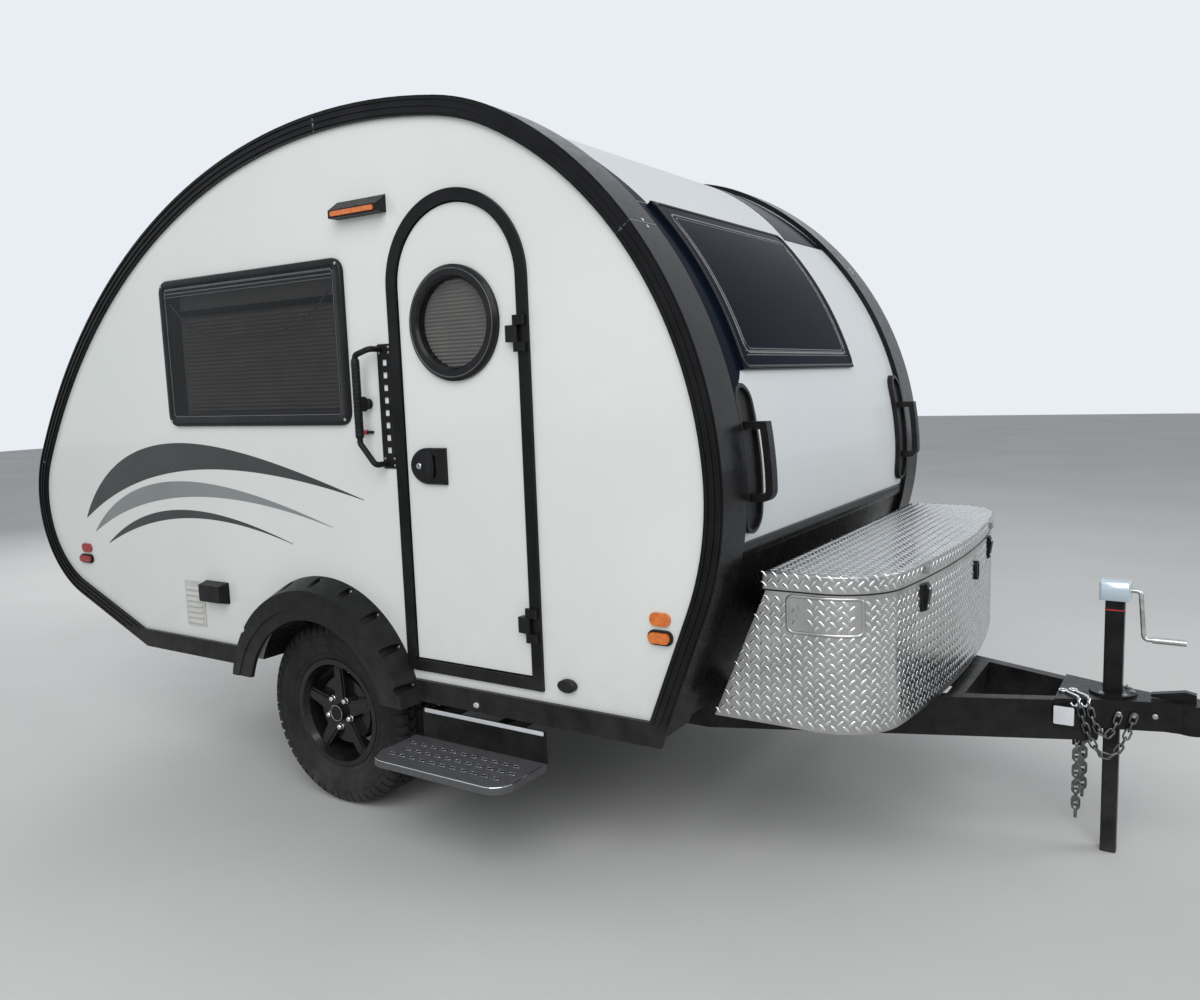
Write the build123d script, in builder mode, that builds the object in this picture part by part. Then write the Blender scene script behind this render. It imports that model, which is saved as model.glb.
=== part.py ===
from build123d import *
import math
import os

# Teardrop travel trailer with an arched side door, a rounded tub on the tongue and two off-road wheels.
# Millimetres. +X points to the hitch, +Y to the left (street) side, +Z up.
# The origin is on the ground under the jack's foot, on the centreline.
os.makedirs("parts", exist_ok=True)

# Body outline, seen from the side: a raked straight front edge and then tangent arcs
wall_face = 970.0
wall = 30.0
skin = 30.0
body_bottom = 554.0
floor_bottom = 514.0
nose_foot_x = -1117.0
nose_heading = 68.9
nose_run = 367.0
chin_radius = 898.0
front_radius = 1249.0
crown_radius = 813.0
rear_radius = 2351.0
tail_radius = 379.0
# name, radius and turn in degrees of each arc, from the front edge up and over to the rear knee
body_arcs = (
    ("chin_low", chin_radius, 9.6),
    ("chin_high", chin_radius, 15.9),
    ("brow", front_radius, 12.4),
    ("front_sill", front_radius, 1.6),
    ("front_glass", front_radius, 23.4),
    ("front_header", front_radius, 1.6),
    ("shoulder", front_radius, 19.9),
    ("crown", crown_radius, 16.4),
    ("roof", rear_radius, 46.0),
    ("rear_header", rear_radius, 1.0),
    ("rear_glass", rear_radius, 17.3),
    ("rear_sill", rear_radius, 1.0),
    ("waist", rear_radius, 4.2),
    ("tail_top", tail_radius, 12.0),
    ("tail_hatch", tail_radius, 75.0),
    ("tail_foot", tail_radius, 12.5),
)
arc_index = {name: place for place, (name, radius, turn) in enumerate(body_arcs)}
arc_count = len(body_arcs)

# The moulded skin and the rim trim stand outside the visible edge of the side panel
skin_stand = 40.0
trim_stand = 60.0
trim_side = 15.0
trim_wrap = 155.0
trim_drop = 74.0
rib_width = 7.0
rib_height = 4.0
rib_insets = (6.0, 26.0, 46.0)

# Side door
door_x = -1788.0
door_arch_z = 1872.0
door_half = 244.0
door_bottom = 631.0
door_gap = 4.0
jamb = 5.0
door_frame_width = 39.0
door_frame_stand = 12.0
hinge_stand = 22.0
hinge_radius = 8.0
hinge_pin_radius = 4.0
hinge_length = 110.0
hinge_knuckle = 50.0
hinge_leaf = 34.0
hinge_heights = (800.0, 1700.0)

# Hinges across the trailer: tub lid and roof vent
cross_hinge_length = 90.0
cross_hinge_middle = 40.0

# Round door window and latch
porthole_x = -1795.0
porthole_z = 1747.0
porthole_hole = 158.0
porthole_ring_radius = 182.0
porthole_glass_radius = 140.0
porthole_stand = 22.0
porthole_bevel = 8.0
porthole_glass_depth = 5.0
porthole_glass_thickness = 6.0
latch_x = -1932.0
latch_z = 1291.0
latch_length = 152.0
latch_height = 120.0
latch_stand = 16.0
latch_bevel = 5.0
latch_recess_ahead = 24.0
latch_recess_height = 78.0
latch_recess_width = 30.0
latch_recess_depth = 11.0

# Side windows
window_rear_x = -3317.0
window_front_x = -2280.0
window_low_z = 1426.0
window_high_z = 1999.0
window_lap = 30.0
window_corner = 34.0
window_stand = 18.0
window_gap = 2.0
window_round = 7.0
blind_thickness = 6.0

# Front and rear windows, set in the curved skin
front_window_low_y = -700.0
front_window_high_y = 300.0
rear_window_half = 520.0
skin_window_lap = 35.0
skin_window_stand = 14.0

# Wheels
wheel_x = -2491.0
tyre_radius = 350.0
tyre_width = 218.0
wheel_y = 854.0
rim_radius = 194.0
rim_lip = 206.0
rim_width = 182.0
tyre_shoulder_drop = 16.0
tyre_shoulder_in = 12.0
tread_in = 28.0
bead_gap = 3.0
bulge_rise = 4.0
rim_flange = 6.0
rim_sheet = 8.0
rim_barrel = 20.0
rim_well = 24.0
hub_radius = 62.0
spoke_count = 5
spoke_out = 62.0
spoke_thickness = 24.0
spoke_root = 66.0
spoke_tip = 40.0
spoke_rib = 5.0
spoke_rib_edge = 9.0
drum_depth = 120.0
cap_radius = 32.0
cap_stand = 22.0
nut_radius = 11.0
nut_height = 12.0
spindle_radius = 20.0
spindle_length = 60.0
running_gap = 0.5
stud_circle = 114.3
stud_start = 54.0
drum_radius = 128.0

# Wheel wells and flares
arch_z = 365.0
arch_radius = 406.0
liner = 6.0
well_inner_y = 709.0
seat_gap = 0.3
flare_foot_z = 468.0
flare_wall_radius = 460.0
flare_wall_z = 415.0
flare_crest_radius = 458.0
flare_crest_z = 380.0
flare_opening_radius = 358.0
flare_opening_z = 370.0
flare_stand = 90.0
flare_skin = 8.0
flare_lip = 20.0
flare_step_radius = 431.0
flare_step_z = 339.0
flare_step = 4.0
flare_clearance = 1.0
pocket_circle = 444.0
pocket_radius = 15.0
pocket_wall = 6.0
pocket_floor = 9.0
pocket_angles = (15.0, 33.0, 51.0, 70.0, 90.0, 110.0, 129.0, 147.0, 165.0)
trim_flare_gap = 1.0

# Frame
rail_width = 40.0
rail_height = 127.0
rail_outer_y = 535.0
rail_overhang = 80.0
rail_bend_x = -1150.0
apex_x = -32.0
apex_half = 88.0
cross_places = (-2900.0, -1750.0, -1200.0)
cross_width = 50.0
cross_height = 80.0
tongue_cross_x = -430.0

# Axle
axle_size = 76.0
axle_x = -2330.0
axle_half = 640.0
axle_corner = 8.0
arm_thickness = 30.0
arm_end_radius = 38.0

# Coupler
coupler_rear_x = -150.0
coupler_low_z = 428.0
coupler_top = 6.0
coupler_wall = 5.0
nose_x = 215.0
ball_radius = 25.5
nose_radius = 46.0
neck_half = 38.0
neck_length = 70.0
ball_depth = 48.0

# Jack
jack_tube_size = 54.0
jack_leg_size = 46.0
jack_corner = 7.0
jack_gap = 0.5
jack_tube_low = 425.0
jack_tube_top = 823.0
jack_leg_top = 520.0
jack_travel = 300.0
jack_flange_radius = 68.0
jack_flange_sheet = 8.0
jack_cap_size = 84.0
jack_cap_height = 56.0
jack_cap_corner = 8.0
jack_head_room = 8.0
crank_radius = 7.0
crank_drop = 150.0
crank_reach = 52.0
crank_out = 26.0
crank_bend = 14.0
grip_start = 8.0
grip_radius = 10.0
grip_length = 95.0

# Tub on the tongue
tub_half = 790.0
tub_front_x = -443.0
tub_bow = 72.0
tub_corner = 190.0
tub_top_back_x = -830.0
tub_foot_back_x = -1000.0
tub_floor_z = 536.0
tub_rim_z = 936.0
tub_sheet = 4.0
lid_top_z = 990.0
lid_gap = 5.0
lid_lap = 6.0
lid_round = 5.0
tub_hinge_leaf = 40.0
tub_hinge_y = 500.0
bearer_width = 40.0
bearer_places = (-900.0, -560.0)
tub_latch_y = 454.0
tub_latch_width = 60.0
tub_latch_z = 880.0
tub_latch_half = 40.0
tub_latch_foot = 9.0
tub_latch_head = 18.0
tub_latch_plate = 4.0
tub_hook_stand = 12.0
tub_hook_height = 22.0
pull_y = 134.0
pull_z = 853.0
pull_height = 66.0
pull_width = 36.0
pull_stand = 9.0

# Fixed entry step
step_rear_x = -2079.0
step_front_x = -1512.0
step_back_y = -962.0
step_front_y = -1200.0
step_z = 343.0
step_sheet = 5.0
step_lip = 22.0
step_corner = 70.0
step_back_top = 449.0
step_back_inset = 40.0
step_back_corner = 8.0
step_arm_size = 44.0
step_arm_rise = 10.0
step_arm_insets = (90.0, 377.0)
slot_first_y = 62.0
slot_length = 26.0
slot_width = 12.0
slot_columns = 11
slot_rows = 3
slot_pitch_x = 44.0
slot_pitch_y = 52.0

# Grab plate beside the door
plate_rear_x = -2141.0
plate_front_x = -2078.0
plate_low_z = 1279.0
plate_high_z = 1697.0
plate_sheet = 4.0
plate_corner = 8.0
plate_slot_count = 8
plate_slot_pitch = 42.0
plate_slot_size = 20.0
handle_tube = 10.0
handle_stand = 55.0
handle_offset = 52.0
handle_run = 34.0
handle_low_share = 2.6
handle_foot_gap = 4.0
handle_end_gap = 6.0
handle_bend = 14.0

# Front manoeuvring handles
pod_y = 770.0
pod_half = 57.0
pod_low_z = 1095.0
pod_high_z = 1530.0
pod_stand = 20.0
pod_floor = 8.0
pod_rim = 12.0
pod_reach = 80.0
grip_half = 19.0
grip_low_z = 1190.0
grip_high_z = 1420.0
grip_depth = 22.0
grip_corner = 34.0

# Roof vent
vent_share = 0.247
vent_half = 200.0
vent_rise = 32.0
vent_corner = 30.0
vent_lid_taper = 20.0
vent_wall = 24.0
vent_lid_height = 34.0
vent_lid_lap = 16.0
vent_gap = 0.3
vent_hinge_leaf = 20.0
vent_leaf_gap = 5.0

# Rear hatch
hatch_half = 420.0
hatch_gap = 4.0
hatch_rod = 4.0

# Lamps and reflectors: rear and front edge, measured forwards from the foot of the front edge or from
# the tail, then low and high edge
front_reflector = (5.0, 73.0, 844.0, 884.0)
front_marker = (-1.0, 80.0, 789.0, 833.0)
rear_reflector = (194.0, 268.0, 862.0, 902.0)
rear_marker = (179.0, 273.0, 813.0, 853.0)
marker_rim = 6.0
marker_stand = 9.0
lens_stand = 18.0
reflector_stand = 7.0
wedge_rear_x = -2289.0
wedge_front_x = -2062.0
wedge_low_z = 2120.0
wedge_high_z = 2178.0
wedge_stand = 44.0
wedge_lip = 26.0
wedge_lens_margin = 14.0
wedge_lens_low = 5.0
wedge_lens_height = 16.0
wedge_lens_stand = 5.0
wedge_lens_corner = 6.4
tail_lamp_y = 700.0
tail_lamp_half = 70.0
tail_lamp_stand = 22.0
tail_lens_margin = 14.0
tail_lens_stand = 8.0

# Wall fittings behind the door-side wheel and in front of it; the share is that of the way from the tail to the flare
louvre_share = 0.7145
louvre_width = 123.0
louvre_low_z = 608.0
louvre_high_z = 794.0
louvre_sheet = 5.0
louvre_margin = 12.0
louvre_blade_gap = 3.0
louvre_count = 7
louvre_depth = 12.0
hood_louvre_gap = 12.0
hood_width = 150.0
hood_low_z = 716.0
hood_high_z = 804.0
hood_sheet = 14.0
hood_taper = 14.0
hood_mouth_share = 0.7
hood_stand = 42.0
inlet_x = -1409.0
inlet_z = 620.0
inlet_length = 66.0
inlet_height = 41.0
inlet_stand = 20.0
inlet_bevel = 4.0

# Safety chains, one hung from each rail
chain_wire = 8.0
chain_length = 46.0
chain_width = 27.0
chain_links = 9
chain_x = -88.0
chain_tab_drop = 12.0
chain_tab_hole = 6.5
chain_tab_end = 14.0
chain_tab_thickness = 6.0

# Coupler latch
latch_lever_width = 26.0
# distance behind the ball's centre and height over the coupler, round the lever's side
lever_side = ((-10.0, 0.0), (-10.0, 26.0), (20.0, 32.0), (110.0, 14.0), (110.0, 6.0), (30.0, 0.0))

# Drop-down corner stabilisers
leg_section = 36.0
leg_length = 400.0
leg_pivot_z = 440.0
leg_front_x = -1240.0
leg_rail_inset = 60.0
leg_y = 590.0
leg_shoe = 70.0
leg_side_gap = 4.0
leg_bracket = 6.0
leg_pin = 8.0
leg_bracket_half = 30.0
leg_shoe_sheet = 10.0


def at_y(level):
    """Sketch plane across the trailer at a y level; a push runs towards -Y."""
    return Plane.XZ.offset(-level)


def ahead(heading):
    """Unit vector along a heading in the side view."""
    angle = math.radians(heading)
    return Vector(math.cos(angle), math.sin(angle))


def outward(heading):
    """Unit vector square to a heading, pointing out of the body."""
    angle = math.radians(heading)
    return Vector(math.sin(angle), -math.cos(angle))


def heading_at(place):
    """Heading of the outline where arc number place starts."""
    return nose_heading + sum(turn for name, radius, turn in body_arcs[:place])


def joint_at(place, gap):
    """Outline point where arc number place starts, moved outwards by gap."""
    point = Vector(nose_foot_x, body_bottom) + ahead(nose_heading) * nose_run
    for step, (name, radius, turn) in enumerate(body_arcs[:place]):
        centre = point - outward(heading_at(step)) * radius
        point = centre + outward(heading_at(step + 1)) * radius
    return point + outward(heading_at(place)) * gap


def along_arc(name, share, gap):
    """Outline point part of the way along a named arc, moved outwards by gap."""
    place = arc_index[name]
    radius, turn = body_arcs[place][1:]
    heading = heading_at(place)
    centre = joint_at(place, 0) - outward(heading) * radius
    return centre + outward(heading + share * turn) * (radius + gap)


def front_foot(gap, level):
    """Point of the raked front edge, moved outwards by gap, at a level."""
    top = joint_at(0, gap)
    return top - ahead(nose_heading) * ((top.Y - level) / math.sin(math.radians(nose_heading)))


def rear_foot(gap, level):
    """Point of the straight tail edge, moved outwards by gap, at a level."""
    heading = heading_at(arc_count)
    top = joint_at(arc_count, gap)
    return top + ahead(heading) * ((level - top.Y) / math.sin(math.radians(heading)))


def run_of_arcs(first, last, gap):
    """Arcs number first to last of the outline, moved outwards by gap."""
    for place in range(first, last):
        radius, turn = body_arcs[place][1:]
        JernArc(joint_at(place, gap), ahead(heading_at(place)), radius + gap, turn)


def body_face(gap, level):
    """Whole side outline, moved outwards by gap and cut off flat at a level."""
    with BuildSketch() as face:
        with BuildLine():
            Line(front_foot(gap, level), joint_at(0, gap))
            run_of_arcs(0, arc_count, gap)
            Line(joint_at(arc_count, gap), rear_foot(gap, level))
            Line(rear_foot(gap, level), front_foot(gap, level))
        make_face()
    return face.sketch


def band_face(first, last, outer, inner, front_level=None, rear_level=None):
    """Strip between two offsets of the outline, from arc first to arc last.

    With a front or rear level the strip runs on down the straight edge to that level.
    """
    with BuildSketch() as face:
        with BuildLine():
            for gap in (outer, inner):
                run_of_arcs(first, last, gap)
                if front_level is not None:
                    Line(front_foot(gap, front_level), joint_at(0, gap))
                if rear_level is not None:
                    Line(joint_at(arc_count, gap), rear_foot(gap, rear_level))
            if front_level is None:
                Line(joint_at(first, inner), joint_at(first, outer))
            else:
                Line(front_foot(inner, front_level), front_foot(outer, front_level))
            if rear_level is None:
                Line(joint_at(last, inner), joint_at(last, outer))
            else:
                Line(rear_foot(inner, rear_level), rear_foot(outer, rear_level))
        make_face()
    return face.sketch


def band_between(first_name, last_name, outer, inner):
    """Strip from the start of one named arc to the end of another."""
    return band_face(arc_index[first_name], arc_index[last_name] + 1, outer, inner)


def seam_face(place, width):
    """Thin strip across the skin at the start of an arc, on the side that the sign of width gives."""
    step = ahead(heading_at(place)) * width
    out = joint_at(place, skin_stand + hatch_gap)
    inn = joint_at(place, skin_stand - skin - hatch_gap)
    with BuildSketch() as face:
        with BuildLine():
            Polyline(out, inn, inn + step, out + step, close=True)
        make_face()
    return face.sketch


def arch_face(half, sill):
    """Door outline: straight sides from a sill up to a half-round top."""
    with BuildSketch() as face:
        with Locations((door_x, (sill + door_arch_z) / 2)):
            Rectangle(2 * half, door_arch_z - sill)
        with Locations((door_x, door_arch_z)):
            Circle(half)
    return face.sketch


def rounded_face(low_x, high_x, low_z, high_z, corner):
    """Rectangle between two corners, with rounded corners."""
    with BuildSketch() as face:
        with Locations(((low_x + high_x) / 2, (low_z + high_z) / 2)):
            RectangleRounded(high_x - low_x, high_z - low_z, corner)
    return face.sketch


def disc_face(x, z, radius):
    """Disc in the side view."""
    with BuildSketch() as face:
        with Locations((x, z)):
            Circle(radius)
    return face.sketch


def flare_face(radius, centre_z):
    """Round flare outline in the side view, straight down from its widest level to the foot."""
    with BuildSketch() as face:
        with Locations((wheel_x, centre_z)):
            Circle(radius)
        with Locations((wheel_x, flare_foot_z - radius)):
            Rectangle(2 * radius + 2, 2 * radius, mode=Mode.SUBTRACT)
    return face.sketch


def fixed_hinge_half(x, z, y, leaf):
    """Pin and two outer knuckles of a hinge across the trailer, with a leaf given by its corners."""
    with BuildPart() as half:
        for end in (-1, 1):
            with BuildSketch(at_y(y + end * (cross_hinge_length + cross_hinge_middle) / 4)):
                with Locations((x, z)):
                    Circle(hinge_radius)
                with BuildLine():
                    Polyline(*leaf, close=True)
                make_face()
            extrude(amount=(cross_hinge_length - cross_hinge_middle) / 4 - running_gap, both=True)
        with BuildSketch(at_y(y)):
            with Locations((x, z)):
                Circle(hinge_pin_radius)
        extrude(amount=cross_hinge_length / 2, both=True)
    return half.part


def moving_hinge_half(x, z, y, leaf):
    """Middle knuckle of a hinge across the trailer, with a leaf given by its corners."""
    with BuildPart() as half:
        with BuildSketch(at_y(y)):
            with Locations((x, z)):
                Circle(hinge_radius)
            with BuildLine():
                Polyline(*leaf, close=True)
            make_face()
            with Locations((x, z)):
                Circle(hinge_pin_radius + running_gap, mode=Mode.SUBTRACT)
        extrude(amount=cross_hinge_middle / 2, both=True)
    return half.part


def save(piece, name):
    """Label a finished piece and write its file."""
    piece.part.label = name
    export_step(piece.part, f"parts/{name}.step")


skin_half = wall_face - wall
tail_x = joint_at(arc_index["tail_top"], 0).X
rail_rear_x = rear_foot(0, floor_bottom).X - rail_overhang
leg_rear_x = rail_rear_x + leg_rail_inset
vent_spot = along_arc("roof", vent_share, skin_stand)
vent_x = vent_spot.X
vent_base_top = vent_spot.Y + vent_rise
opening_half = door_half + door_gap + jamb
opening_sill = door_bottom - door_gap - jamb
shell_top = arc_index["front_header"] + 1

# Side walls: the door side has a door opening, both have a window opening and a wheel arch
with BuildPart() as side_wall_right:
    with BuildSketch(at_y(-skin_half)):
        add(body_face(skin_stand, floor_bottom))
        add(disc_face(wheel_x, arch_z, arch_radius), mode=Mode.SUBTRACT)
        add(rounded_face(window_rear_x + window_lap, window_front_x - window_lap,
                         window_low_z + window_lap, window_high_z - window_lap,
                         window_corner), mode=Mode.SUBTRACT)
        add(arch_face(opening_half, opening_sill), mode=Mode.SUBTRACT)
    extrude(amount=wall)
save(side_wall_right, "side_wall_right")

with BuildPart() as side_wall_left:
    with BuildSketch(at_y(wall_face)):
        add(body_face(skin_stand, floor_bottom))
        add(disc_face(wheel_x, arch_z, arch_radius), mode=Mode.SUBTRACT)
        add(rounded_face(window_rear_x + window_lap, window_front_x - window_lap,
                         window_low_z + window_lap, window_high_z - window_lap,
                         window_corner), mode=Mode.SUBTRACT)
    extrude(amount=wall)
save(side_wall_left, "side_wall_left")

# Curved shell between the side walls, split where the real panels meet
skin_inner = skin_stand - skin

with BuildPart() as front_apron:
    with BuildSketch(at_y(skin_half)):
        add(band_face(0, 1, skin_stand, skin_inner, front_level=floor_bottom))
    extrude(amount=2 * skin_half)
save(front_apron, "front_apron")

with BuildPart() as front_panel:
    with BuildSketch(at_y(skin_half)):
        add(band_face(1, shell_top, skin_stand, skin_inner))
    extrude(amount=2 * skin_half)
    with BuildSketch(at_y(front_window_high_y - skin_window_lap)):
        add(band_between("front_glass", "front_glass", skin_stand + 1, skin_inner - 1))
    extrude(amount=front_window_high_y - front_window_low_y - 2 * skin_window_lap, mode=Mode.SUBTRACT)
save(front_panel, "front_panel")

with BuildPart() as roof_panel:
    with BuildSketch(at_y(skin_half)):
        add(band_between("shoulder", "roof", skin_stand, skin_inner))
    extrude(amount=2 * skin_half)
    with BuildSketch(Plane.XY.offset(body_bottom)):
        with Locations((vent_x, 0)):
            Rectangle(2 * (vent_half - vent_wall), 2 * (vent_half - vent_wall))
    extrude(amount=vent_base_top, mode=Mode.SUBTRACT)
save(roof_panel, "roof_panel")

hatch_top = joint_at(arc_index["tail_hatch"], skin_stand)
with BuildPart() as rear_panel:
    with BuildSketch(at_y(skin_half)):
        add(band_face(arc_index["rear_header"], arc_count, skin_stand, skin_inner, rear_level=floor_bottom))
    extrude(amount=2 * skin_half)
    with BuildSketch(at_y(rear_window_half - skin_window_lap)):
        add(band_between("rear_glass", "rear_glass", skin_stand + 1, skin_inner - 1))
    extrude(amount=2 * (rear_window_half - skin_window_lap), mode=Mode.SUBTRACT)
    with BuildSketch(at_y(hatch_half + hatch_gap)):
        add(band_between("tail_hatch", "tail_hatch", skin_stand + 1, skin_inner - 1))
    extrude(amount=2 * (hatch_half + hatch_gap), mode=Mode.SUBTRACT)
    with BuildSketch(at_y(hatch_half)):
        add(disc_face(hatch_top.X, hatch_top.Y, hatch_rod - seat_gap))
    extrude(amount=2 * hatch_half)
save(rear_panel, "rear_panel")

with BuildPart() as floor_panel:
    with BuildSketch(at_y(skin_half)):
        with BuildLine():
            Polyline(front_foot(skin_inner, floor_bottom), front_foot(skin_inner, body_bottom),
                     rear_foot(skin_inner, body_bottom), rear_foot(skin_inner, floor_bottom), close=True)
        make_face()
    extrude(amount=2 * skin_half)
    for side in (1, -1):
        with BuildSketch(at_y(side * (skin_half + well_inner_y) / 2)):
            add(disc_face(wheel_x, arch_z, arch_radius))
        extrude(amount=(skin_half - well_inner_y) / 2, both=True, mode=Mode.SUBTRACT)
save(floor_panel, "floor_panel")

# Rim trim: an angle section that laps the side panel and wraps over the skin
trim_face_y = wall_face + trim_side
with BuildPart() as edge_trim_left:
    with BuildSketch(at_y(trim_face_y)):
        add(body_face(trim_stand, body_bottom - trim_drop))
        add(body_face(0, body_bottom), mode=Mode.SUBTRACT)
        add(flare_face(flare_wall_radius + trim_flare_gap, flare_wall_z), mode=Mode.SUBTRACT)
        with Locations((wheel_x, flare_foot_z - 2 * trim_drop)):
            Rectangle(2 * flare_wall_radius + 2 * trim_flare_gap, 4 * trim_drop, mode=Mode.SUBTRACT)
    extrude(amount=trim_side)
    with BuildSketch(at_y(wall_face)):
        add(band_face(0, arc_count, trim_stand, skin_stand, floor_bottom, floor_bottom))
    extrude(amount=trim_wrap - trim_side)
    for inset in rib_insets:
        with BuildSketch(at_y(trim_face_y + rib_height)):
            add(band_face(0, arc_count, trim_stand - inset, trim_stand - inset - rib_width,
                          body_bottom, body_bottom))
        extrude(amount=rib_height)
save(edge_trim_left, "edge_trim_left")

with BuildPart() as edge_trim_right:
    mirror(edge_trim_left.part, about=Plane.XZ)
save(edge_trim_right, "edge_trim_right")

# Door frame: a face ring on the side panel with a jamb through the wall and two hinge pins
hinge_x = door_x + door_half + door_gap
hinge_y = -(wall_face + hinge_stand)
frame_face = -(wall_face + door_frame_stand)
with BuildPart() as door_frame:
    with BuildSketch(at_y(-skin_half)):
        add(arch_face(opening_half, opening_sill))
        add(arch_face(opening_half - jamb, opening_sill + jamb), mode=Mode.SUBTRACT)
    extrude(amount=wall)
    with BuildSketch(at_y(-wall_face)):
        add(arch_face(opening_half - jamb + door_frame_width, opening_sill + jamb - door_frame_width))
        add(arch_face(opening_half - jamb, opening_sill + jamb), mode=Mode.SUBTRACT)
    extrude(amount=door_frame_stand)
    for height in hinge_heights:
        for end in (-1, 1):
            with BuildSketch(Plane.XY.offset(height + end * (hinge_length + hinge_knuckle) / 4)):
                with Locations((hinge_x, hinge_y)):
                    Circle(hinge_radius)
                with Locations((hinge_x + hinge_leaf / 2, (hinge_y - hinge_radius + frame_face) / 2)):
                    Rectangle(hinge_leaf, frame_face - hinge_y + hinge_radius)
            extrude(amount=(hinge_length - hinge_knuckle) / 4 - running_gap, both=True)
        with BuildSketch(Plane.XY.offset(height)):
            with Locations((hinge_x, hinge_y)):
                Circle(hinge_pin_radius)
        extrude(amount=hinge_length / 2, both=True)
save(door_frame, "door_frame")

# Door leaf, as thick as the wall, with a round window hole and two hinge knuckles at its front edge
with BuildPart() as door_leaf:
    with BuildSketch(at_y(-skin_half)):
        add(arch_face(door_half, door_bottom))
        add(disc_face(porthole_x, porthole_z, porthole_hole), mode=Mode.SUBTRACT)
    extrude(amount=wall)
    for height in hinge_heights:
        with BuildSketch(Plane.XY.offset(height)):
            with BuildLine():
                Polyline(
                    (hinge_x - hinge_leaf, -wall_face),
                    (hinge_x - hinge_leaf, hinge_y - hinge_radius / 2),
                    (hinge_x, hinge_y - hinge_radius),
                    (hinge_x, hinge_y + hinge_radius),
                    (hinge_x - door_gap - 2, hinge_y + hinge_radius),
                    (hinge_x - door_gap - 2, -wall_face),
                    close=True,
                )
            make_face()
            with Locations((hinge_x, hinge_y)):
                Circle(hinge_radius)
                Circle(hinge_pin_radius + running_gap, mode=Mode.SUBTRACT)
        extrude(amount=hinge_knuckle / 2, both=True)
save(door_leaf, "door_leaf")

# Porthole: a stepped ring round a domed pane
with BuildPart() as porthole_ring:
    with BuildSketch(at_y(-skin_half)):
        add(disc_face(porthole_x, porthole_z, porthole_hole - seat_gap))
        add(disc_face(porthole_x, porthole_z, porthole_glass_radius), mode=Mode.SUBTRACT)
    extrude(amount=wall)
    with BuildSketch(at_y(-wall_face)):
        add(disc_face(porthole_x, porthole_z, porthole_ring_radius))
        add(disc_face(porthole_x, porthole_z, porthole_glass_radius), mode=Mode.SUBTRACT)
    extrude(amount=porthole_stand)
    chamfer(porthole_ring.edges().filter_by(GeomType.CIRCLE).group_by(Axis.Y)[0], porthole_bevel)
save(porthole_ring, "porthole_ring")

with BuildPart() as porthole_glass:
    with BuildSketch(at_y(-wall_face + porthole_glass_depth)):
        add(disc_face(porthole_x, porthole_z, porthole_glass_radius))
    extrude(amount=porthole_glass_thickness)
save(porthole_glass, "porthole_glass")

# Door latch: a D-shaped bezel with a finger recess
with BuildPart() as door_latch:
    with BuildSketch(at_y(-wall_face)):
        with Locations((latch_x, latch_z)):
            Ellipse(latch_length / 2, latch_height / 2)
        with Locations((latch_x + latch_length / 4, latch_z)):
            Rectangle(latch_length / 2, latch_height)
    extrude(amount=latch_stand)
    chamfer(door_latch.faces().sort_by(Axis.Y)[0].edges(), latch_bevel)
    with BuildSketch(at_y(-wall_face - latch_stand)):
        with Locations((latch_x + latch_recess_ahead, latch_z)):
            SlotOverall(latch_recess_height, latch_recess_width, rotation=90)
    extrude(amount=-latch_recess_depth, mode=Mode.SUBTRACT)
save(door_latch, "door_latch")


def window_solid(part_name):
    """Top-hung acrylic window: a rimmed pane over the wall with a spigot through the opening."""
    with BuildPart() as pane:
        with BuildSketch(at_y(-wall_face)):
            add(rounded_face(window_rear_x, window_front_x, window_low_z, window_high_z,
                             window_corner + window_lap / 2))
        extrude(amount=window_stand)
        fillet(pane.faces().sort_by(Axis.Y)[0].edges(), window_round)
        with BuildSketch(at_y(-skin_half)):
            add(rounded_face(window_rear_x + window_lap + window_gap, window_front_x - window_lap - window_gap,
                             window_low_z + window_lap + window_gap, window_high_z - window_lap - window_gap,
                             window_corner - window_gap))
            add(rounded_face(window_rear_x + 2 * window_lap, window_front_x - 2 * window_lap,
                             window_low_z + 2 * window_lap, window_high_z - 2 * window_lap,
                             window_corner / 2), mode=Mode.SUBTRACT)
        extrude(amount=wall)
    pane.part.label = part_name
    return pane.part


with BuildPart() as window_right:
    add(window_solid("window_right"))
save(window_right, "window_right")

with BuildPart() as window_left:
    mirror(window_right.part, about=Plane.XZ)
save(window_left, "window_left")

# Slatted blinds behind the side windows
with BuildPart() as window_blinds:
    for level in (-skin_half + blind_thickness, skin_half):
        with BuildSketch(at_y(level)):
            add(rounded_face(window_rear_x + window_lap / 2, window_front_x - window_lap / 2,
                             window_low_z + window_lap / 2, window_high_z - window_lap / 2, window_corner))
        extrude(amount=blind_thickness)
save(window_blinds, "window_blinds")

# Curved front and rear windows: a pane lapped over the skin with a spigot in the opening
with BuildPart() as front_window:
    with BuildSketch(at_y(front_window_high_y)):
        add(band_between("front_sill", "front_header", skin_stand + skin_window_stand, skin_stand))
    extrude(amount=front_window_high_y - front_window_low_y)
save(front_window, "front_window")

with BuildPart() as rear_window:
    with BuildSketch(at_y(rear_window_half)):
        add(band_between("rear_header", "rear_sill", skin_stand + skin_window_stand, skin_stand))
    extrude(amount=2 * rear_window_half)
save(rear_window, "rear_window")

# Rear hatch: the middle of the round tail, hinged along its top edge
with BuildPart() as rear_hatch:
    with BuildSketch(at_y(hatch_half)):
        add(band_between("tail_hatch", "tail_hatch", skin_stand, skin_inner))
        add(seam_face(arc_index["tail_hatch"], seat_gap), mode=Mode.SUBTRACT)
        add(seam_face(arc_index["tail_hatch"] + 1, -hatch_gap), mode=Mode.SUBTRACT)
        add(disc_face(hatch_top.X, hatch_top.Y, hatch_rod), mode=Mode.SUBTRACT)
    extrude(amount=2 * hatch_half)
save(rear_hatch, "rear_hatch")


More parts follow.
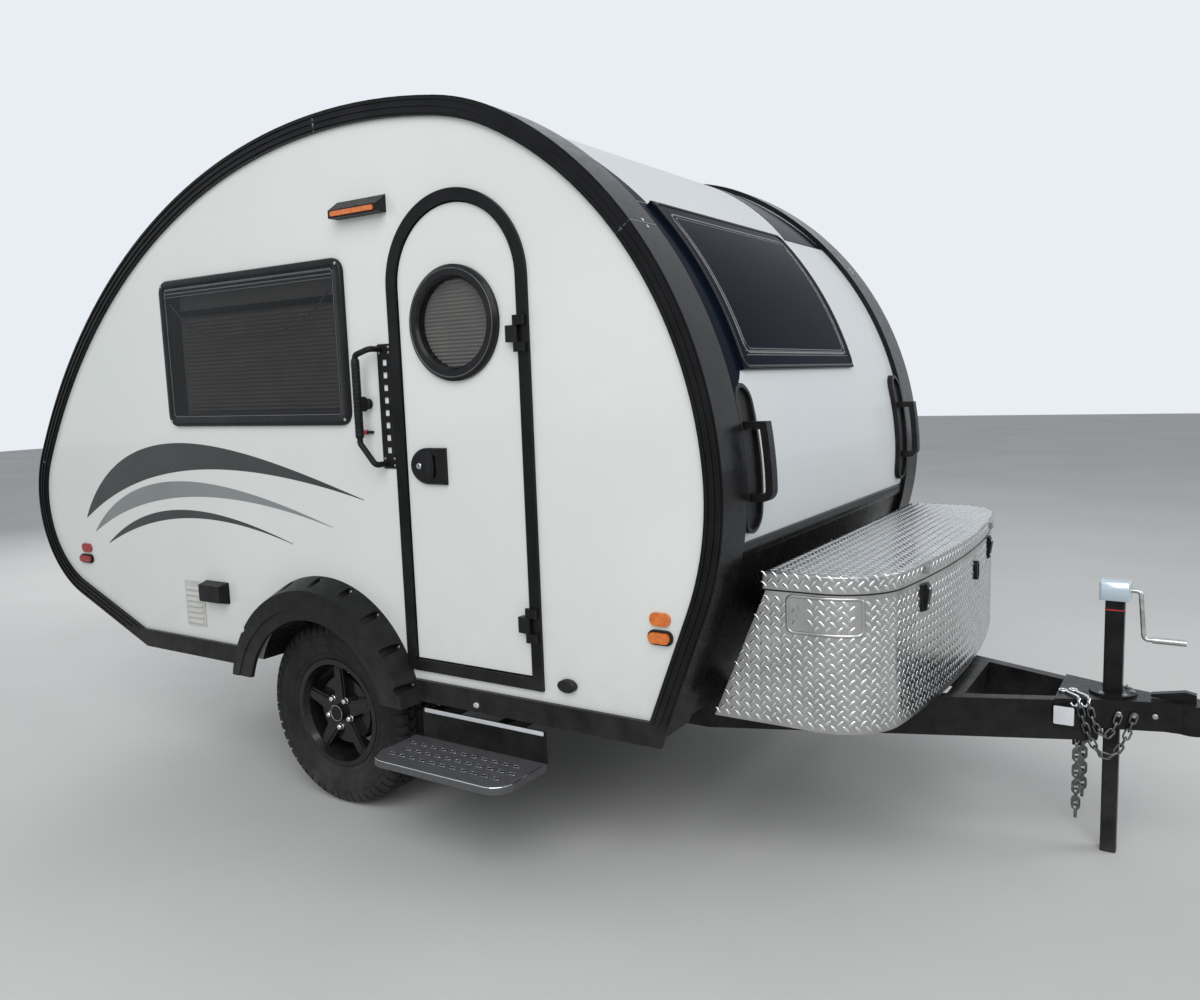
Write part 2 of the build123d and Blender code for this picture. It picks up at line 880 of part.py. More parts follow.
# Wheel wells: a half-round liner closed on its inner side
def well_solid():
    """Liner of the right wheel well."""
    with BuildPart() as well:
        with BuildSketch(at_y(-well_inner_y - liner)):
            add(disc_face(wheel_x, arch_z, arch_radius - seat_gap))
            add(disc_face(wheel_x, arch_z, arch_radius - seat_gap - liner), mode=Mode.SUBTRACT)
        extrude(amount=wall_face - well_inner_y - liner)
        with BuildSketch(at_y(-well_inner_y)):
            add(disc_face(wheel_x, arch_z, arch_radius - seat_gap))
        extrude(amount=liner)
        split(bisect_by=Plane.XY.offset(floor_bottom), keep=Keep.TOP)
    return well.part


with BuildPart() as wheel_wells:
    add(well_solid())
    mirror(about=Plane.XZ)
save(wheel_wells, "wheel_wells")


# Fender flares: a moulded shell that slopes out from the wall to a crest and turns in to a lip,
# with a row of bolt pockets along the wall
def flare_block(inset, stand):
    """Solid between the flare's outline on the wall and its crest, moved inwards by inset."""
    with BuildPart() as block:
        with BuildSketch(at_y(-wall_face)):
            add(flare_face(flare_wall_radius - inset, flare_wall_z))
        with BuildSketch(at_y(-wall_face - stand)):
            add(flare_face(flare_crest_radius - inset, flare_crest_z))
        loft(ruled=True)
    return block.part


def pocket_spots(radius):
    """Round outlines of one radius where the flare's pockets are."""
    with BuildSketch() as spots:
        for angle in pocket_angles:
            turn = math.radians(angle)
            with Locations((wheel_x + pocket_circle * math.cos(turn), flare_wall_z + pocket_circle * math.sin(turn))):
                Circle(radius)
    return spots.sketch


with BuildPart() as pocket_bosses:
    with BuildSketch(at_y(-wall_face)):
        add(pocket_spots(pocket_radius + pocket_wall))
    extrude(amount=flare_stand)
    add(flare_block(0, flare_stand), mode=Mode.INTERSECT)

with BuildPart() as flare_right:
    add(flare_block(0, flare_stand))
    add(flare_block(flare_skin, flare_stand - flare_skin), mode=Mode.SUBTRACT)
    add(pocket_bosses.part)
    with BuildSketch(at_y(-wall_face - pocket_floor)):
        add(pocket_spots(pocket_radius))
    extrude(amount=flare_stand, mode=Mode.SUBTRACT)
    with BuildSketch(at_y(-wall_face - flare_stand + flare_lip)):
        add(disc_face(wheel_x, flare_opening_z, flare_opening_radius + flare_skin))
    extrude(amount=flare_lip)
    with BuildSketch(at_y(-wall_face - flare_stand + flare_step)):
        add(disc_face(wheel_x, flare_step_z, flare_step_radius))
    extrude(amount=flare_step, mode=Mode.SUBTRACT)
    with BuildSketch(at_y(-wall_face)):
        add(disc_face(wheel_x, flare_opening_z, flare_opening_radius))
        with Locations((wheel_x, flare_foot_z - flare_wall_radius)):
            Rectangle(4 * flare_wall_radius, 2 * flare_wall_radius)
    extrude(amount=flare_stand, mode=Mode.SUBTRACT)
    with BuildSketch(at_y(-wall_face)):
        add(arch_face(opening_half - jamb + door_frame_width + flare_clearance,
                      opening_sill + jamb - door_frame_width - flare_clearance))
    extrude(amount=door_frame_stand + flare_clearance, mode=Mode.SUBTRACT)
save(flare_right, "flare_right")

with BuildPart() as flare_left:
    mirror(flare_right.part, about=Plane.XZ)
save(flare_left, "flare_left")

# Wheels: tyre, five-spoke rim with hub and drum
wheel_axis = Axis((wheel_x, 0, tyre_radius), (0, 1, 0))
bead_half = rim_width / 2
bead_z = tyre_radius + rim_lip + bead_gap
shoulder_z = 2 * tyre_radius - tyre_shoulder_drop
shoulder_half = tyre_width / 2 - tyre_shoulder_in
tread_half = tyre_width / 2 - tread_in
bulge_z = tyre_radius + (tyre_radius + rim_radius) / 2 + bulge_rise
with BuildPart() as tyre_left:
    with BuildSketch(Plane.YZ.offset(wheel_x)):
        with BuildLine():
            Polyline((wheel_y - bead_half, bead_z), (wheel_y - bead_half, tyre_radius + rim_radius),
                     (wheel_y + bead_half, tyre_radius + rim_radius), (wheel_y + bead_half, bead_z))
            ThreePointArc((wheel_y + bead_half, bead_z), (wheel_y + tyre_width / 2, bulge_z),
                          (wheel_y + shoulder_half, shoulder_z))
            Polyline((wheel_y + shoulder_half, shoulder_z), (wheel_y + tread_half, 2 * tyre_radius),
                     (wheel_y - tread_half, 2 * tyre_radius), (wheel_y - shoulder_half, shoulder_z))
            ThreePointArc((wheel_y - shoulder_half, shoulder_z), (wheel_y - tyre_width / 2, bulge_z),
                          (wheel_y - bead_half, bead_z))
        make_face()
    revolve(axis=wheel_axis)
save(tyre_left, "tyre_left")

with BuildPart() as tyre_right:
    mirror(tyre_left.part, about=Plane.XZ)
save(tyre_right, "tyre_right")

rim_outer_y = wheel_y + bead_half
rim_inner_y = wheel_y - bead_half
spoke_y = wheel_y + spoke_out
spoke_back_y = spoke_y - spoke_thickness / 2
spoke_front_y = spoke_y + spoke_thickness / 2
hub_inner_y = spoke_back_y - drum_depth
spoke_run = rim_radius - rim_sheet
spoke_angle = math.degrees(math.atan2(spoke_run, (spoke_root - spoke_tip) / 2))
with BuildPart() as rim_left:
    with BuildSketch(Plane.YZ.offset(wheel_x)):
        with BuildLine():
            Polyline(
                (rim_inner_y - rim_flange, tyre_radius + rim_lip),
                (rim_inner_y, tyre_radius + rim_lip),
                (rim_inner_y, tyre_radius + rim_radius),
                (rim_outer_y, tyre_radius + rim_radius),
                (rim_outer_y, tyre_radius + rim_lip),
                (rim_outer_y + rim_flange, tyre_radius + rim_lip),
                (rim_outer_y + rim_flange, tyre_radius + rim_radius - rim_sheet),
                (spoke_front_y, tyre_radius + rim_radius - rim_barrel),
                (spoke_back_y, tyre_radius + rim_radius - rim_well),
                (rim_inner_y - rim_flange, tyre_radius + rim_radius - rim_sheet),
                close=True,
            )
        make_face()
    revolve(axis=wheel_axis)
    # Star: five tapered spokes round the hub, each with a raised rib along its middle
    with BuildSketch(at_y(spoke_front_y)):
        with Locations((wheel_x, tyre_radius)):
            Circle(hub_radius)
            with PolarLocations(0, spoke_count, start_angle=90):
                with Locations((spoke_run / 2, 0)):
                    Trapezoid(spoke_root, spoke_run, spoke_angle, rotation=-90)
    extrude(amount=spoke_thickness)
    with BuildSketch(at_y(spoke_front_y + spoke_rib)):
        with Locations((wheel_x, tyre_radius)):
            with PolarLocations(0, spoke_count, start_angle=90):
                with Locations(((spoke_run - rim_barrel) / 2, 0)):
                    Trapezoid(spoke_root - 2 * spoke_rib_edge, spoke_run - rim_barrel, spoke_angle, rotation=-90)
            Circle(hub_radius - spoke_rib_edge)
    extrude(amount=spoke_rib)
    # Hub and brake drum behind the star
    with BuildSketch(at_y(spoke_back_y)):
        with Locations((wheel_x, tyre_radius)):
            Circle(drum_radius)
    extrude(amount=drum_depth)
    with BuildSketch(at_y(hub_inner_y + spindle_length + running_gap)):
        with Locations((wheel_x, tyre_radius)):
            Circle(spindle_radius + running_gap)
    extrude(amount=spindle_length + running_gap, mode=Mode.SUBTRACT)
    # Centre cap and nuts
    with BuildSketch(at_y(spoke_front_y + cap_stand)):
        with Locations((wheel_x, tyre_radius)):
            Circle(cap_radius)
    extrude(amount=cap_stand)
    with BuildSketch(at_y(spoke_front_y + nut_height)):
        with Locations((wheel_x, tyre_radius)):
            with PolarLocations(stud_circle / 2, spoke_count, start_angle=stud_start):
                RegularPolygon(nut_radius, 6)
    extrude(amount=nut_height)
save(rim_left, "rim_left")

with BuildPart() as rim_right:
    mirror(rim_left.part, about=Plane.XZ)
save(rim_right, "rim_right")

# Frame: two rails that run straight under the floor and draw in to the coupler
rail_slope = (rail_outer_y - apex_half) / (apex_x - rail_bend_x)
rail_turn = math.atan(rail_slope)
apex_inner = apex_half - rail_width / math.cos(rail_turn)
bend_inner_x = rail_bend_x - rail_width * math.tan(rail_turn / 2)
rail_top_z = floor_bottom
rail_low_z = rail_top_z - rail_height
def rail_inner_y(x):
    """Inner face of the drawn-in part of a rail."""
    return apex_inner + rail_slope * (apex_x - x)


chain_y = rail_inner_y(chain_x) + rail_width / 2
with BuildPart() as frame_rail_left:
    with BuildSketch(Plane.XY.offset(rail_low_z)):
        with BuildLine():
            Polyline(
                (rail_rear_x, rail_outer_y),
                (rail_bend_x, rail_outer_y),
                (apex_x, apex_half),
                (apex_x, apex_inner),
                (bend_inner_x, rail_outer_y - rail_width),
                (rail_rear_x, rail_outer_y - rail_width),
                close=True,
            )
        make_face()
    extrude(amount=rail_height)
    # Eye under the rail for the safety chain
    with BuildSketch(at_y(chain_y)):
        with Locations((chain_x, rail_low_z - chain_tab_drop)):
            Circle(chain_tab_end)
            Rectangle(2 * chain_tab_end, 2 * chain_tab_drop + 2)
            Circle(chain_tab_hole, mode=Mode.SUBTRACT)
    extrude(amount=chain_tab_thickness / 2, both=True)
save(frame_rail_left, "frame_rail_left")

with BuildPart() as frame_rail_right:
    mirror(frame_rail_left.part, about=Plane.XZ)
save(frame_rail_right, "frame_rail_right")

# Cross members between the rails, one on the tongue, and two bearers on the rails under the tub
with BuildPart() as frame_crossmembers:
    for place in (rail_rear_x + cross_width / 2, *cross_places):
        with BuildSketch(Plane.XY.offset(rail_top_z - cross_height)):
            with Locations((place, 0)):
                Rectangle(cross_width, 2 * (rail_outer_y - rail_width))
        extrude(amount=cross_height)
    with BuildSketch(Plane.XY.offset(rail_top_z - cross_height)):
        with BuildLine():
            Polyline(
                (tongue_cross_x - cross_width / 2, rail_inner_y(tongue_cross_x - cross_width / 2)),
                (tongue_cross_x + cross_width / 2, rail_inner_y(tongue_cross_x + cross_width / 2)),
                (tongue_cross_x + cross_width / 2, -rail_inner_y(tongue_cross_x + cross_width / 2)),
                (tongue_cross_x - cross_width / 2, -rail_inner_y(tongue_cross_x - cross_width / 2)),
                close=True,
            )
        make_face()
    extrude(amount=cross_height)
    for place in bearer_places:
        with BuildSketch(Plane.XY.offset(rail_top_z)):
            with Locations((place, 0)):
                Rectangle(bearer_width, 2 * (rail_inner_y(place) + 2 * rail_width))
        extrude(amount=tub_floor_z - rail_top_z)
save(frame_crossmembers, "frame_crossmembers")

# Torsion axle: a square beam under the rails and a trailing arm with a spindle on each side
axle_z = rail_low_z - axle_size / 2
with BuildPart() as axle_beam:
    with BuildSketch(Plane.XZ.offset(-axle_half)):
        with Locations((axle_x, axle_z)):
            RectangleRounded(axle_size, axle_size, axle_corner)
    extrude(amount=2 * axle_half)
save(axle_beam, "axle_beam")

arm_outer_y = axle_half + arm_thickness
with BuildPart() as swing_arms:
    with BuildSketch(at_y(arm_outer_y)):
        with Locations((axle_x, axle_z), (wheel_x, tyre_radius)):
            Circle(arm_end_radius)
        with BuildLine():
            Polyline((axle_x, axle_z + arm_end_radius), (wheel_x, tyre_radius + arm_end_radius),
                     (wheel_x, tyre_radius - arm_end_radius), (axle_x, axle_z - arm_end_radius), close=True)
        make_face()
    extrude(amount=arm_thickness)
    with BuildSketch(at_y(hub_inner_y + spindle_length)):
        with Locations((wheel_x, tyre_radius)):
            Circle(spindle_radius)
    extrude(amount=hub_inner_y + spindle_length - arm_outer_y)
    mirror(about=Plane.XZ)
save(swing_arms, "swing_arms")

# Coupler: a folded channel over the apex of the rails with a ball socket at its nose
coupler_top_z = rail_top_z + coupler_top
coupler_rear_half = apex_half + rail_slope * (apex_x - coupler_rear_x) + coupler_wall
with BuildPart() as coupler:
    with BuildSketch(Plane.XY.offset(coupler_low_z)) as plan:
        with BuildLine():
            Polyline(
                (coupler_rear_x, coupler_rear_half),
                (apex_x, apex_half + coupler_wall),
                (nose_x - neck_length, neck_half),
                (nose_x, neck_half),
                (nose_x, -neck_half),
                (nose_x - neck_length, -neck_half),
                (apex_x, -apex_half - coupler_wall),
                (coupler_rear_x, -coupler_rear_half),
                close=True,
            )
        make_face()
        with Locations((nose_x, 0)):
            Circle(nose_radius)
    extrude(amount=coupler_top_z - coupler_low_z)
    with BuildSketch(Plane.XY.offset(coupler_low_z)):
        with BuildLine():
            Polyline(
                (coupler_rear_x - 1, apex_half + rail_slope * (apex_x - coupler_rear_x + 1)),
                (apex_x, apex_half),
                (nose_x - neck_length, neck_half - coupler_wall),
                (nose_x - neck_length, -neck_half + coupler_wall),
                (apex_x, -apex_half),
                (coupler_rear_x - 1, -apex_half - rail_slope * (apex_x - coupler_rear_x + 1)),
                close=True,
            )
        make_face()
    extrude(amount=rail_top_z - coupler_low_z, mode=Mode.SUBTRACT)
    with Locations((nose_x, 0, coupler_low_z)):
        Cylinder(ball_radius, 2 * ball_depth, mode=Mode.SUBTRACT)
    with BuildSketch(Plane.XY.offset(coupler_low_z)):
        RectangleRounded(jack_tube_size + 2 * jack_gap, jack_tube_size + 2 * jack_gap, jack_corner + jack_gap)
    extrude(amount=coupler_top_z, mode=Mode.SUBTRACT)
save(coupler, "coupler")

# Jack: an outer tube with a round flange on the coupler, a cap and a sliding leg
leg_corner = jack_corner - 2 * jack_gap
with BuildPart() as jack_tube:
    with BuildSketch(Plane.XY.offset(jack_tube_low)):
        RectangleRounded(jack_tube_size, jack_tube_size, jack_corner)
    extrude(amount=jack_tube_top - jack_tube_low)
    with BuildSketch(Plane.XY.offset(coupler_top_z)):
        Circle(jack_flange_radius)
    extrude(amount=jack_flange_sheet)
    with BuildSketch(Plane.XY.offset(jack_tube_top)):
        RectangleRounded(jack_cap_size, jack_cap_size, jack_cap_corner)
    extrude(amount=jack_cap_height)
    with BuildSketch(Plane.XY.offset(jack_tube_low)):
        RectangleRounded(jack_leg_size + 2 * jack_gap, jack_leg_size + 2 * jack_gap, leg_corner + jack_gap)
    extrude(amount=jack_leg_top + jack_travel + jack_head_room - jack_tube_low, mode=Mode.SUBTRACT)
save(jack_tube, "jack_tube")

with BuildPart() as jack_leg:
    with BuildSketch():
        RectangleRounded(jack_leg_size, jack_leg_size, leg_corner)
    extrude(amount=jack_leg_top)
save(jack_leg, "jack_leg")

# Crank: a rod bent down from the cap's front, with a grip at its end
crank_z = jack_tube_top + jack_cap_height / 2
crank_x = jack_cap_size / 2
grip_z = crank_z - crank_drop
with BuildPart() as jack_crank:
    with BuildLine() as crank_path:
        FilletPolyline((crank_x, 0, crank_z), (crank_x + crank_out, 0, crank_z),
                       (crank_x + crank_reach - crank_bend, 0, grip_z),
                       (crank_x + crank_reach + grip_length, 0, grip_z), radius=crank_bend)
    with BuildSketch(Plane.YZ.offset(crank_x)):
        with Locations((0, crank_z)):
            Circle(crank_radius)
    sweep(path=crank_path.line)
    with BuildSketch(Plane.YZ.offset(crank_x + crank_reach + grip_start)):
        with Locations((0, grip_z)):
            Circle(grip_radius)
    extrude(amount=grip_length - grip_start / 2)
save(jack_crank, "jack_crank")


def tub_plan(lap, front_only=False):
    """Tub plan: square at the back, rounded corners and a bowed front, moved outwards by lap."""
    side_x = tub_front_x - tub_bow
    back_x = tub_foot_back_x if not front_only else tub_top_back_x
    with BuildSketch() as face:
        with BuildLine():
            ThreePointArc((side_x + lap, -tub_half - lap), (tub_front_x + lap, 0), (side_x + lap, tub_half + lap))
            Polyline((side_x + lap, tub_half + lap), (back_x - lap, tub_half + lap),
                     (back_x - lap, -tub_half - lap), (side_x + lap, -tub_half - lap))
        make_face()
        fillet(face.vertices().group_by(Axis.X)[-1], tub_corner + lap)
    return face.sketch


def tub_back_at(level):
    """X of the sloping back of the tub at a level."""
    share = (level - tub_floor_z) / (tub_rim_z - tub_floor_z)
    return tub_foot_back_x + share * (tub_top_back_x - tub_foot_back_x)


tub_hinge_x = tub_top_back_x - lid_lap - hinge_radius - running_gap
tub_hinge_z = tub_rim_z + lid_gap
tub_latch_x = tub_front_x - tub_bow * (tub_latch_y / tub_half) ** 2

# Tub: a sheet box whose back edge follows the rake of the body
with BuildPart() as tub_body:
    with BuildSketch(Plane.XY.offset(tub_floor_z)):
        add(tub_plan(0))
    extrude(amount=tub_rim_z - tub_floor_z)
    with BuildSketch(Plane.XY.offset(tub_floor_z + tub_sheet)):
        add(tub_plan(-tub_sheet))
    extrude(amount=tub_rim_z - tub_floor_z - tub_sheet, mode=Mode.SUBTRACT)
    with BuildSketch(Plane.XZ.offset(-tub_half - 1)):
        with BuildLine():
            Polyline((tub_foot_back_x - 1, tub_floor_z), (tub_foot_back_x, tub_floor_z),
                     (tub_top_back_x, tub_rim_z), (tub_top_back_x, tub_rim_z + 1),
                     (tub_foot_back_x - 1, tub_rim_z + 1), close=True)
        make_face()
    extrude(amount=2 * tub_half + 2, mode=Mode.SUBTRACT)
    with BuildSketch(Plane.XZ.offset(-tub_half)):
        with BuildLine():
            Polyline((tub_foot_back_x, tub_floor_z), (tub_top_back_x, tub_rim_z),
                     (tub_top_back_x + tub_sheet, tub_rim_z), (tub_foot_back_x + tub_sheet, tub_floor_z),
                     close=True)
        make_face()
    extrude(amount=2 * tub_half)
    for level in (tub_hinge_y, -tub_hinge_y):
        add(fixed_hinge_half(tub_hinge_x, tub_hinge_z, level, (
            (tub_hinge_x - hinge_radius, tub_hinge_z),
            (tub_hinge_x + hinge_radius, tub_hinge_z),
            (tub_hinge_x + hinge_radius, tub_rim_z - 2),
            (tub_back_at(tub_rim_z - 2) + 1, tub_rim_z - 2),
            (tub_back_at(tub_rim_z - tub_hinge_leaf) + 1, tub_rim_z - tub_hinge_leaf),
        )))
save(tub_body, "tub_body")

with BuildPart() as tub_seal:
    with BuildSketch(Plane.XY.offset(tub_rim_z)):
        add(tub_plan(lid_lap, front_only=True))
        add(tub_plan(-tub_sheet, front_only=True), mode=Mode.SUBTRACT)
    extrude(amount=lid_gap - seat_gap)
save(tub_seal, "tub_seal")

with BuildPart() as tub_lid:
    with BuildSketch(Plane.XY.offset(tub_rim_z + lid_gap)):
        add(tub_plan(lid_lap, front_only=True))
    extrude(amount=lid_top_z - tub_rim_z - lid_gap)
    with BuildSketch(Plane.XY.offset(tub_rim_z + lid_gap)):
        add(tub_plan(lid_lap - tub_sheet, front_only=True))
    extrude(amount=lid_top_z - tub_rim_z - lid_gap - tub_sheet, mode=Mode.SUBTRACT)
    fillet(tub_lid.faces().sort_by(Axis.Z)[-1].edges(), lid_round)
    for level in (tub_hinge_y, -tub_hinge_y):
        add(moving_hinge_half(tub_hinge_x, tub_hinge_z, level, (
            (tub_hinge_x, tub_hinge_z),
            (tub_hinge_x + hinge_radius + 1, tub_hinge_z),
            (tub_hinge_x + hinge_radius + 1, tub_hinge_z + hinge_radius),
            (tub_hinge_x, tub_hinge_z + hinge_radius),
        )))
    for level in (tub_latch_y, -tub_latch_y):
        with BuildSketch(Plane.XZ.offset(-level)):
            with Locations((tub_latch_x + lid_lap + tub_hook_stand / 2 - tub_sheet / 2,
                            tub_rim_z + lid_gap + tub_hook_height)):
                Rectangle(tub_hook_stand + tub_sheet, tub_hook_height)
        extrude(amount=tub_latch_width / 4, both=True)
save(tub_lid, "tub_lid")

# Draw latches on the front of the tub, under the hooks on the lid, and an oval pull ring
with BuildPart() as tub_latches:
    for level in (tub_latch_y, -tub_latch_y):
        with BuildSketch(Plane.XZ.offset(-level)):
            with Locations((tub_latch_x, tub_latch_z)):
                Rectangle(2 * tub_latch_plate, 2 * tub_latch_half)
        extrude(amount=tub_latch_width / 2, both=True)
        with BuildSketch(Plane.XZ.offset(-level)):
            with BuildLine():
                Polyline(
                    (tub_latch_x, tub_latch_z - tub_latch_half),
                    (tub_latch_x + tub_latch_foot, tub_latch_z - tub_latch_half),
                    (tub_latch_x + tub_latch_head, tub_latch_z + tub_latch_half / 2),
                    (tub_latch_x + tub_latch_foot, tub_latch_z + tub_latch_half),
                    (tub_latch_x, tub_latch_z + tub_latch_half),
                    close=True,
                )
            make_face()
        extrude(amount=tub_latch_width / 4, both=True)
    with BuildSketch(Plane.YZ.offset(tub_front_x - tub_bow)):
        with Locations((pull_y, pull_z)):
            SlotOverall(pull_height, pull_width, rotation=90)
            SlotOverall(pull_height - pull_width / 2, pull_width / 2, rotation=90, mode=Mode.SUBTRACT)
    extrude(amount=tub_bow + pull_stand)
    add(tub_body.part, mode=Mode.SUBTRACT)
    with BuildSketch(Plane.XY.offset(tub_floor_z + tub_sheet / 2)):
        add(tub_plan(-tub_sheet / 2))
    extrude(amount=tub_rim_z - tub_floor_z, mode=Mode.SUBTRACT)
save(tub_latches, "tub_latches")

# Fixed entry step: a pressed tread with rows of slots and a rolled lip, hung from a back plate
step_mid_x = (step_rear_x + step_front_x) / 2
step_mid_y = (step_back_y + step_front_y) / 2
step_length = step_front_x - step_rear_x
step_depth = step_back_y - step_front_y
with BuildPart() as step_tread:
    with BuildSketch(Plane.XY.offset(step_z - step_lip)) as tread_plan:
        with Locations((step_mid_x, step_mid_y)):
            Rectangle(step_length, step_depth)
        fillet(tread_plan.vertices().group_by(Axis.Y)[0], step_corner)
    extrude(amount=step_lip)
    with BuildSketch(Plane.XY.offset(step_z - step_lip)) as tread_hollow:
        with Locations((step_mid_x, step_mid_y + step_sheet / 2)):
            Rectangle(step_length - 2 * step_sheet, step_depth - step_sheet)
        fillet(tread_hollow.vertices().group_by(Axis.Y)[0], step_corner - step_sheet)
    extrude(amount=step_lip - step_sheet, mode=Mode.SUBTRACT)
    with BuildSketch(Plane.XY.offset(step_z)):
        for row in range(slot_rows):
            shift = slot_pitch_x / 2 * (row % 2)
            with Locations((step_mid_x + shift - slot_pitch_x / 4, step_back_y - slot_first_y - row * slot_pitch_y)):
                with GridLocations(slot_pitch_x, 1, slot_columns, 1):
                    SlotOverall(slot_length, slot_width)
    extrude(amount=-step_sheet, mode=Mode.SUBTRACT)
save(step_tread, "step_tread")

with BuildPart() as step_bracket:
    with BuildSketch(at_y(step_back_y + step_sheet)):
        add(rounded_face(step_rear_x + step_back_inset, step_front_x, step_z - step_lip, step_back_top,
                         step_back_corner))
    extrude(amount=step_sheet)
    for inset in step_arm_insets:
        with BuildSketch(Plane.XY.offset(rail_low_z + step_arm_rise)):
            with Locations((step_rear_x + inset, (step_back_y + step_sheet - rail_outer_y) / 2)):
                Rectangle(step_arm_size, -rail_outer_y - step_back_y - step_sheet)
        extrude(amount=step_arm_size)
save(step_bracket, "step_bracket")

# Grab plate with a column of slots beside the door, and a bent handle in front of it
with BuildPart() as grab_plate:
    with BuildSketch(at_y(-wall_face)):
        add(rounded_face(plate_rear_x, plate_front_x, plate_low_z, plate_high_z, plate_corner))
    extrude(amount=plate_sheet)
    with BuildSketch(at_y(-wall_face)):
        with Locations(((plate_rear_x + plate_front_x) / 2, (plate_low_z + plate_high_z) / 2)):
            with GridLocations(1, plate_slot_pitch, 1, plate_slot_count):
                Rectangle(plate_slot_size, plate_slot_size)
    extrude(amount=plate_sheet, mode=Mode.SUBTRACT)
save(grab_plate, "grab_plate")

# Bent tube standing off the wall, set back from the plate and turned in to its two ends
handle_y = -wall_face - handle_stand
handle_x = plate_rear_x - handle_offset
handle_foot_x = plate_rear_x + handle_tube + handle_foot_gap
handle_end = handle_tube + handle_end_gap
with BuildPart() as grab_handle:
    with BuildLine() as handle_path:
        FilletPolyline(
            (handle_foot_x, -wall_face - plate_sheet, plate_high_z - handle_end),
            (handle_foot_x, handle_y, plate_high_z - handle_end),
            (handle_x, handle_y, plate_high_z - handle_run),
            (handle_x, handle_y, plate_low_z + handle_low_share * handle_run),
            (handle_foot_x, handle_y, plate_low_z + handle_end),
            (handle_foot_x, -wall_face - plate_sheet, plate_low_z + handle_end),
            radius=handle_bend,
        )
    with BuildSketch(Plane(origin=handle_path.line @ 0, z_dir=(0, -1, 0))):
        Circle(handle_tube)
    sweep(path=handle_path.line)
save(grab_handle, "grab_handle")


# Manoeuvring handles on the front, beside the trim: an oval dished plate bridged by an upright grip
def pod_layer(outer, inner, inset):
    """Part of the oval plate between two offsets of the outline, moved inwards by inset."""
    with BuildPart() as layer:
        with BuildSketch(at_y(pod_y + pod_half)):
            add(band_between("chin_high", "brow", outer, inner))
        extrude(amount=2 * pod_half)
        with BuildSketch(Plane.YZ.offset(nose_foot_x)):
            with Locations((pod_y, (pod_low_z + pod_high_z) / 2)):
                SlotOverall(pod_high_z - pod_low_z - 2 * inset, 2 * (pod_half - inset), rotation=90)
        extrude(amount=-nose_foot_x, mode=Mode.INTERSECT)
    return layer.part


def grip_face(outer, low_z, high_z, corner):
    """Side outline of the grip from the plate's floor to an offset, with two rounded corners."""
    with BuildSketch() as face:
        add(band_between("chin_high", "brow", outer, skin_stand + pod_floor))
        with Locations((nose_foot_x, (low_z + high_z) / 2)):
            Rectangle(-2 * nose_foot_x, high_z - low_z, mode=Mode.INTERSECT)
        fillet(face.vertices().sort_by(Axis.X)[-2:], corner)
    return face.sketch


with BuildPart() as front_handles:
    add(pod_layer(skin_stand + pod_stand, skin_stand, 0))
    add(pod_layer(skin_stand + pod_stand, skin_stand + pod_floor, pod_rim), mode=Mode.SUBTRACT)
    with BuildSketch(at_y(pod_y + grip_half)):
        add(grip_face(skin_stand + pod_reach, grip_low_z, grip_high_z, grip_corner))
        add(grip_face(skin_stand + pod_reach - grip_depth, grip_low_z + grip_depth, grip_high_z - grip_depth,
                      grip_corner - grip_depth), mode=Mode.SUBTRACT)
    extrude(amount=2 * grip_half)
    mirror(about=Plane.XZ)
save(front_handles, "front_handles")

# Roof vent: a curb seated on the curved roof and a lid hinged along its front edge
vent_hinge_x = vent_x + vent_half + vent_lid_lap + hinge_radius + running_gap
vent_hinge_z = vent_base_top + vent_gap
with BuildPart() as roof_vent_base:
    with BuildSketch(Plane.XY.offset(body_bottom)):
        with Locations((vent_x, 0)):
            Rectangle(2 * vent_half, 2 * vent_half)
            Rectangle(2 * (vent_half - vent_wall), 2 * (vent_half - vent_wall), mode=Mode.SUBTRACT)
    extrude(amount=vent_base_top - body_bottom)
    with BuildSketch(at_y(wall_face)):
        add(body_face(skin_stand, floor_bottom))
    extrude(amount=2 * wall_face, mode=Mode.SUBTRACT)
    add(fixed_hinge_half(vent_hinge_x, vent_hinge_z, 0, (
        (vent_hinge_x, vent_hinge_z - hinge_radius),
        (vent_x + vent_half - 1, vent_base_top - vent_hinge_leaf),
        (vent_x + vent_half - 1, vent_base_top - 1),
        (vent_hinge_x - hinge_radius, vent_base_top - 1),
    )))
save(roof_vent_base, "roof_vent_base")

with BuildPart() as roof_vent_lid:
    with BuildSketch(Plane.XY.offset(vent_base_top + vent_gap)):
        with Locations((vent_x, 0)):
            RectangleRounded(2 * (vent_half + vent_lid_lap), 2 * (vent_half + vent_lid_lap), vent_corner)
    extrude(amount=vent_lid_height, taper=vent_lid_taper)
    add(moving_hinge_half(vent_hinge_x, vent_hinge_z, 0, (
        (vent_hinge_x, vent_hinge_z),
        (vent_hinge_x - hinge_radius - running_gap - 1, vent_hinge_z),
        (vent_hinge_x - hinge_radius - running_gap - vent_leaf_gap, vent_hinge_z + hinge_radius),
        (vent_hinge_x, vent_hinge_z + hinge_radius),
    )))
save(roof_vent_lid, "roof_vent_lid")


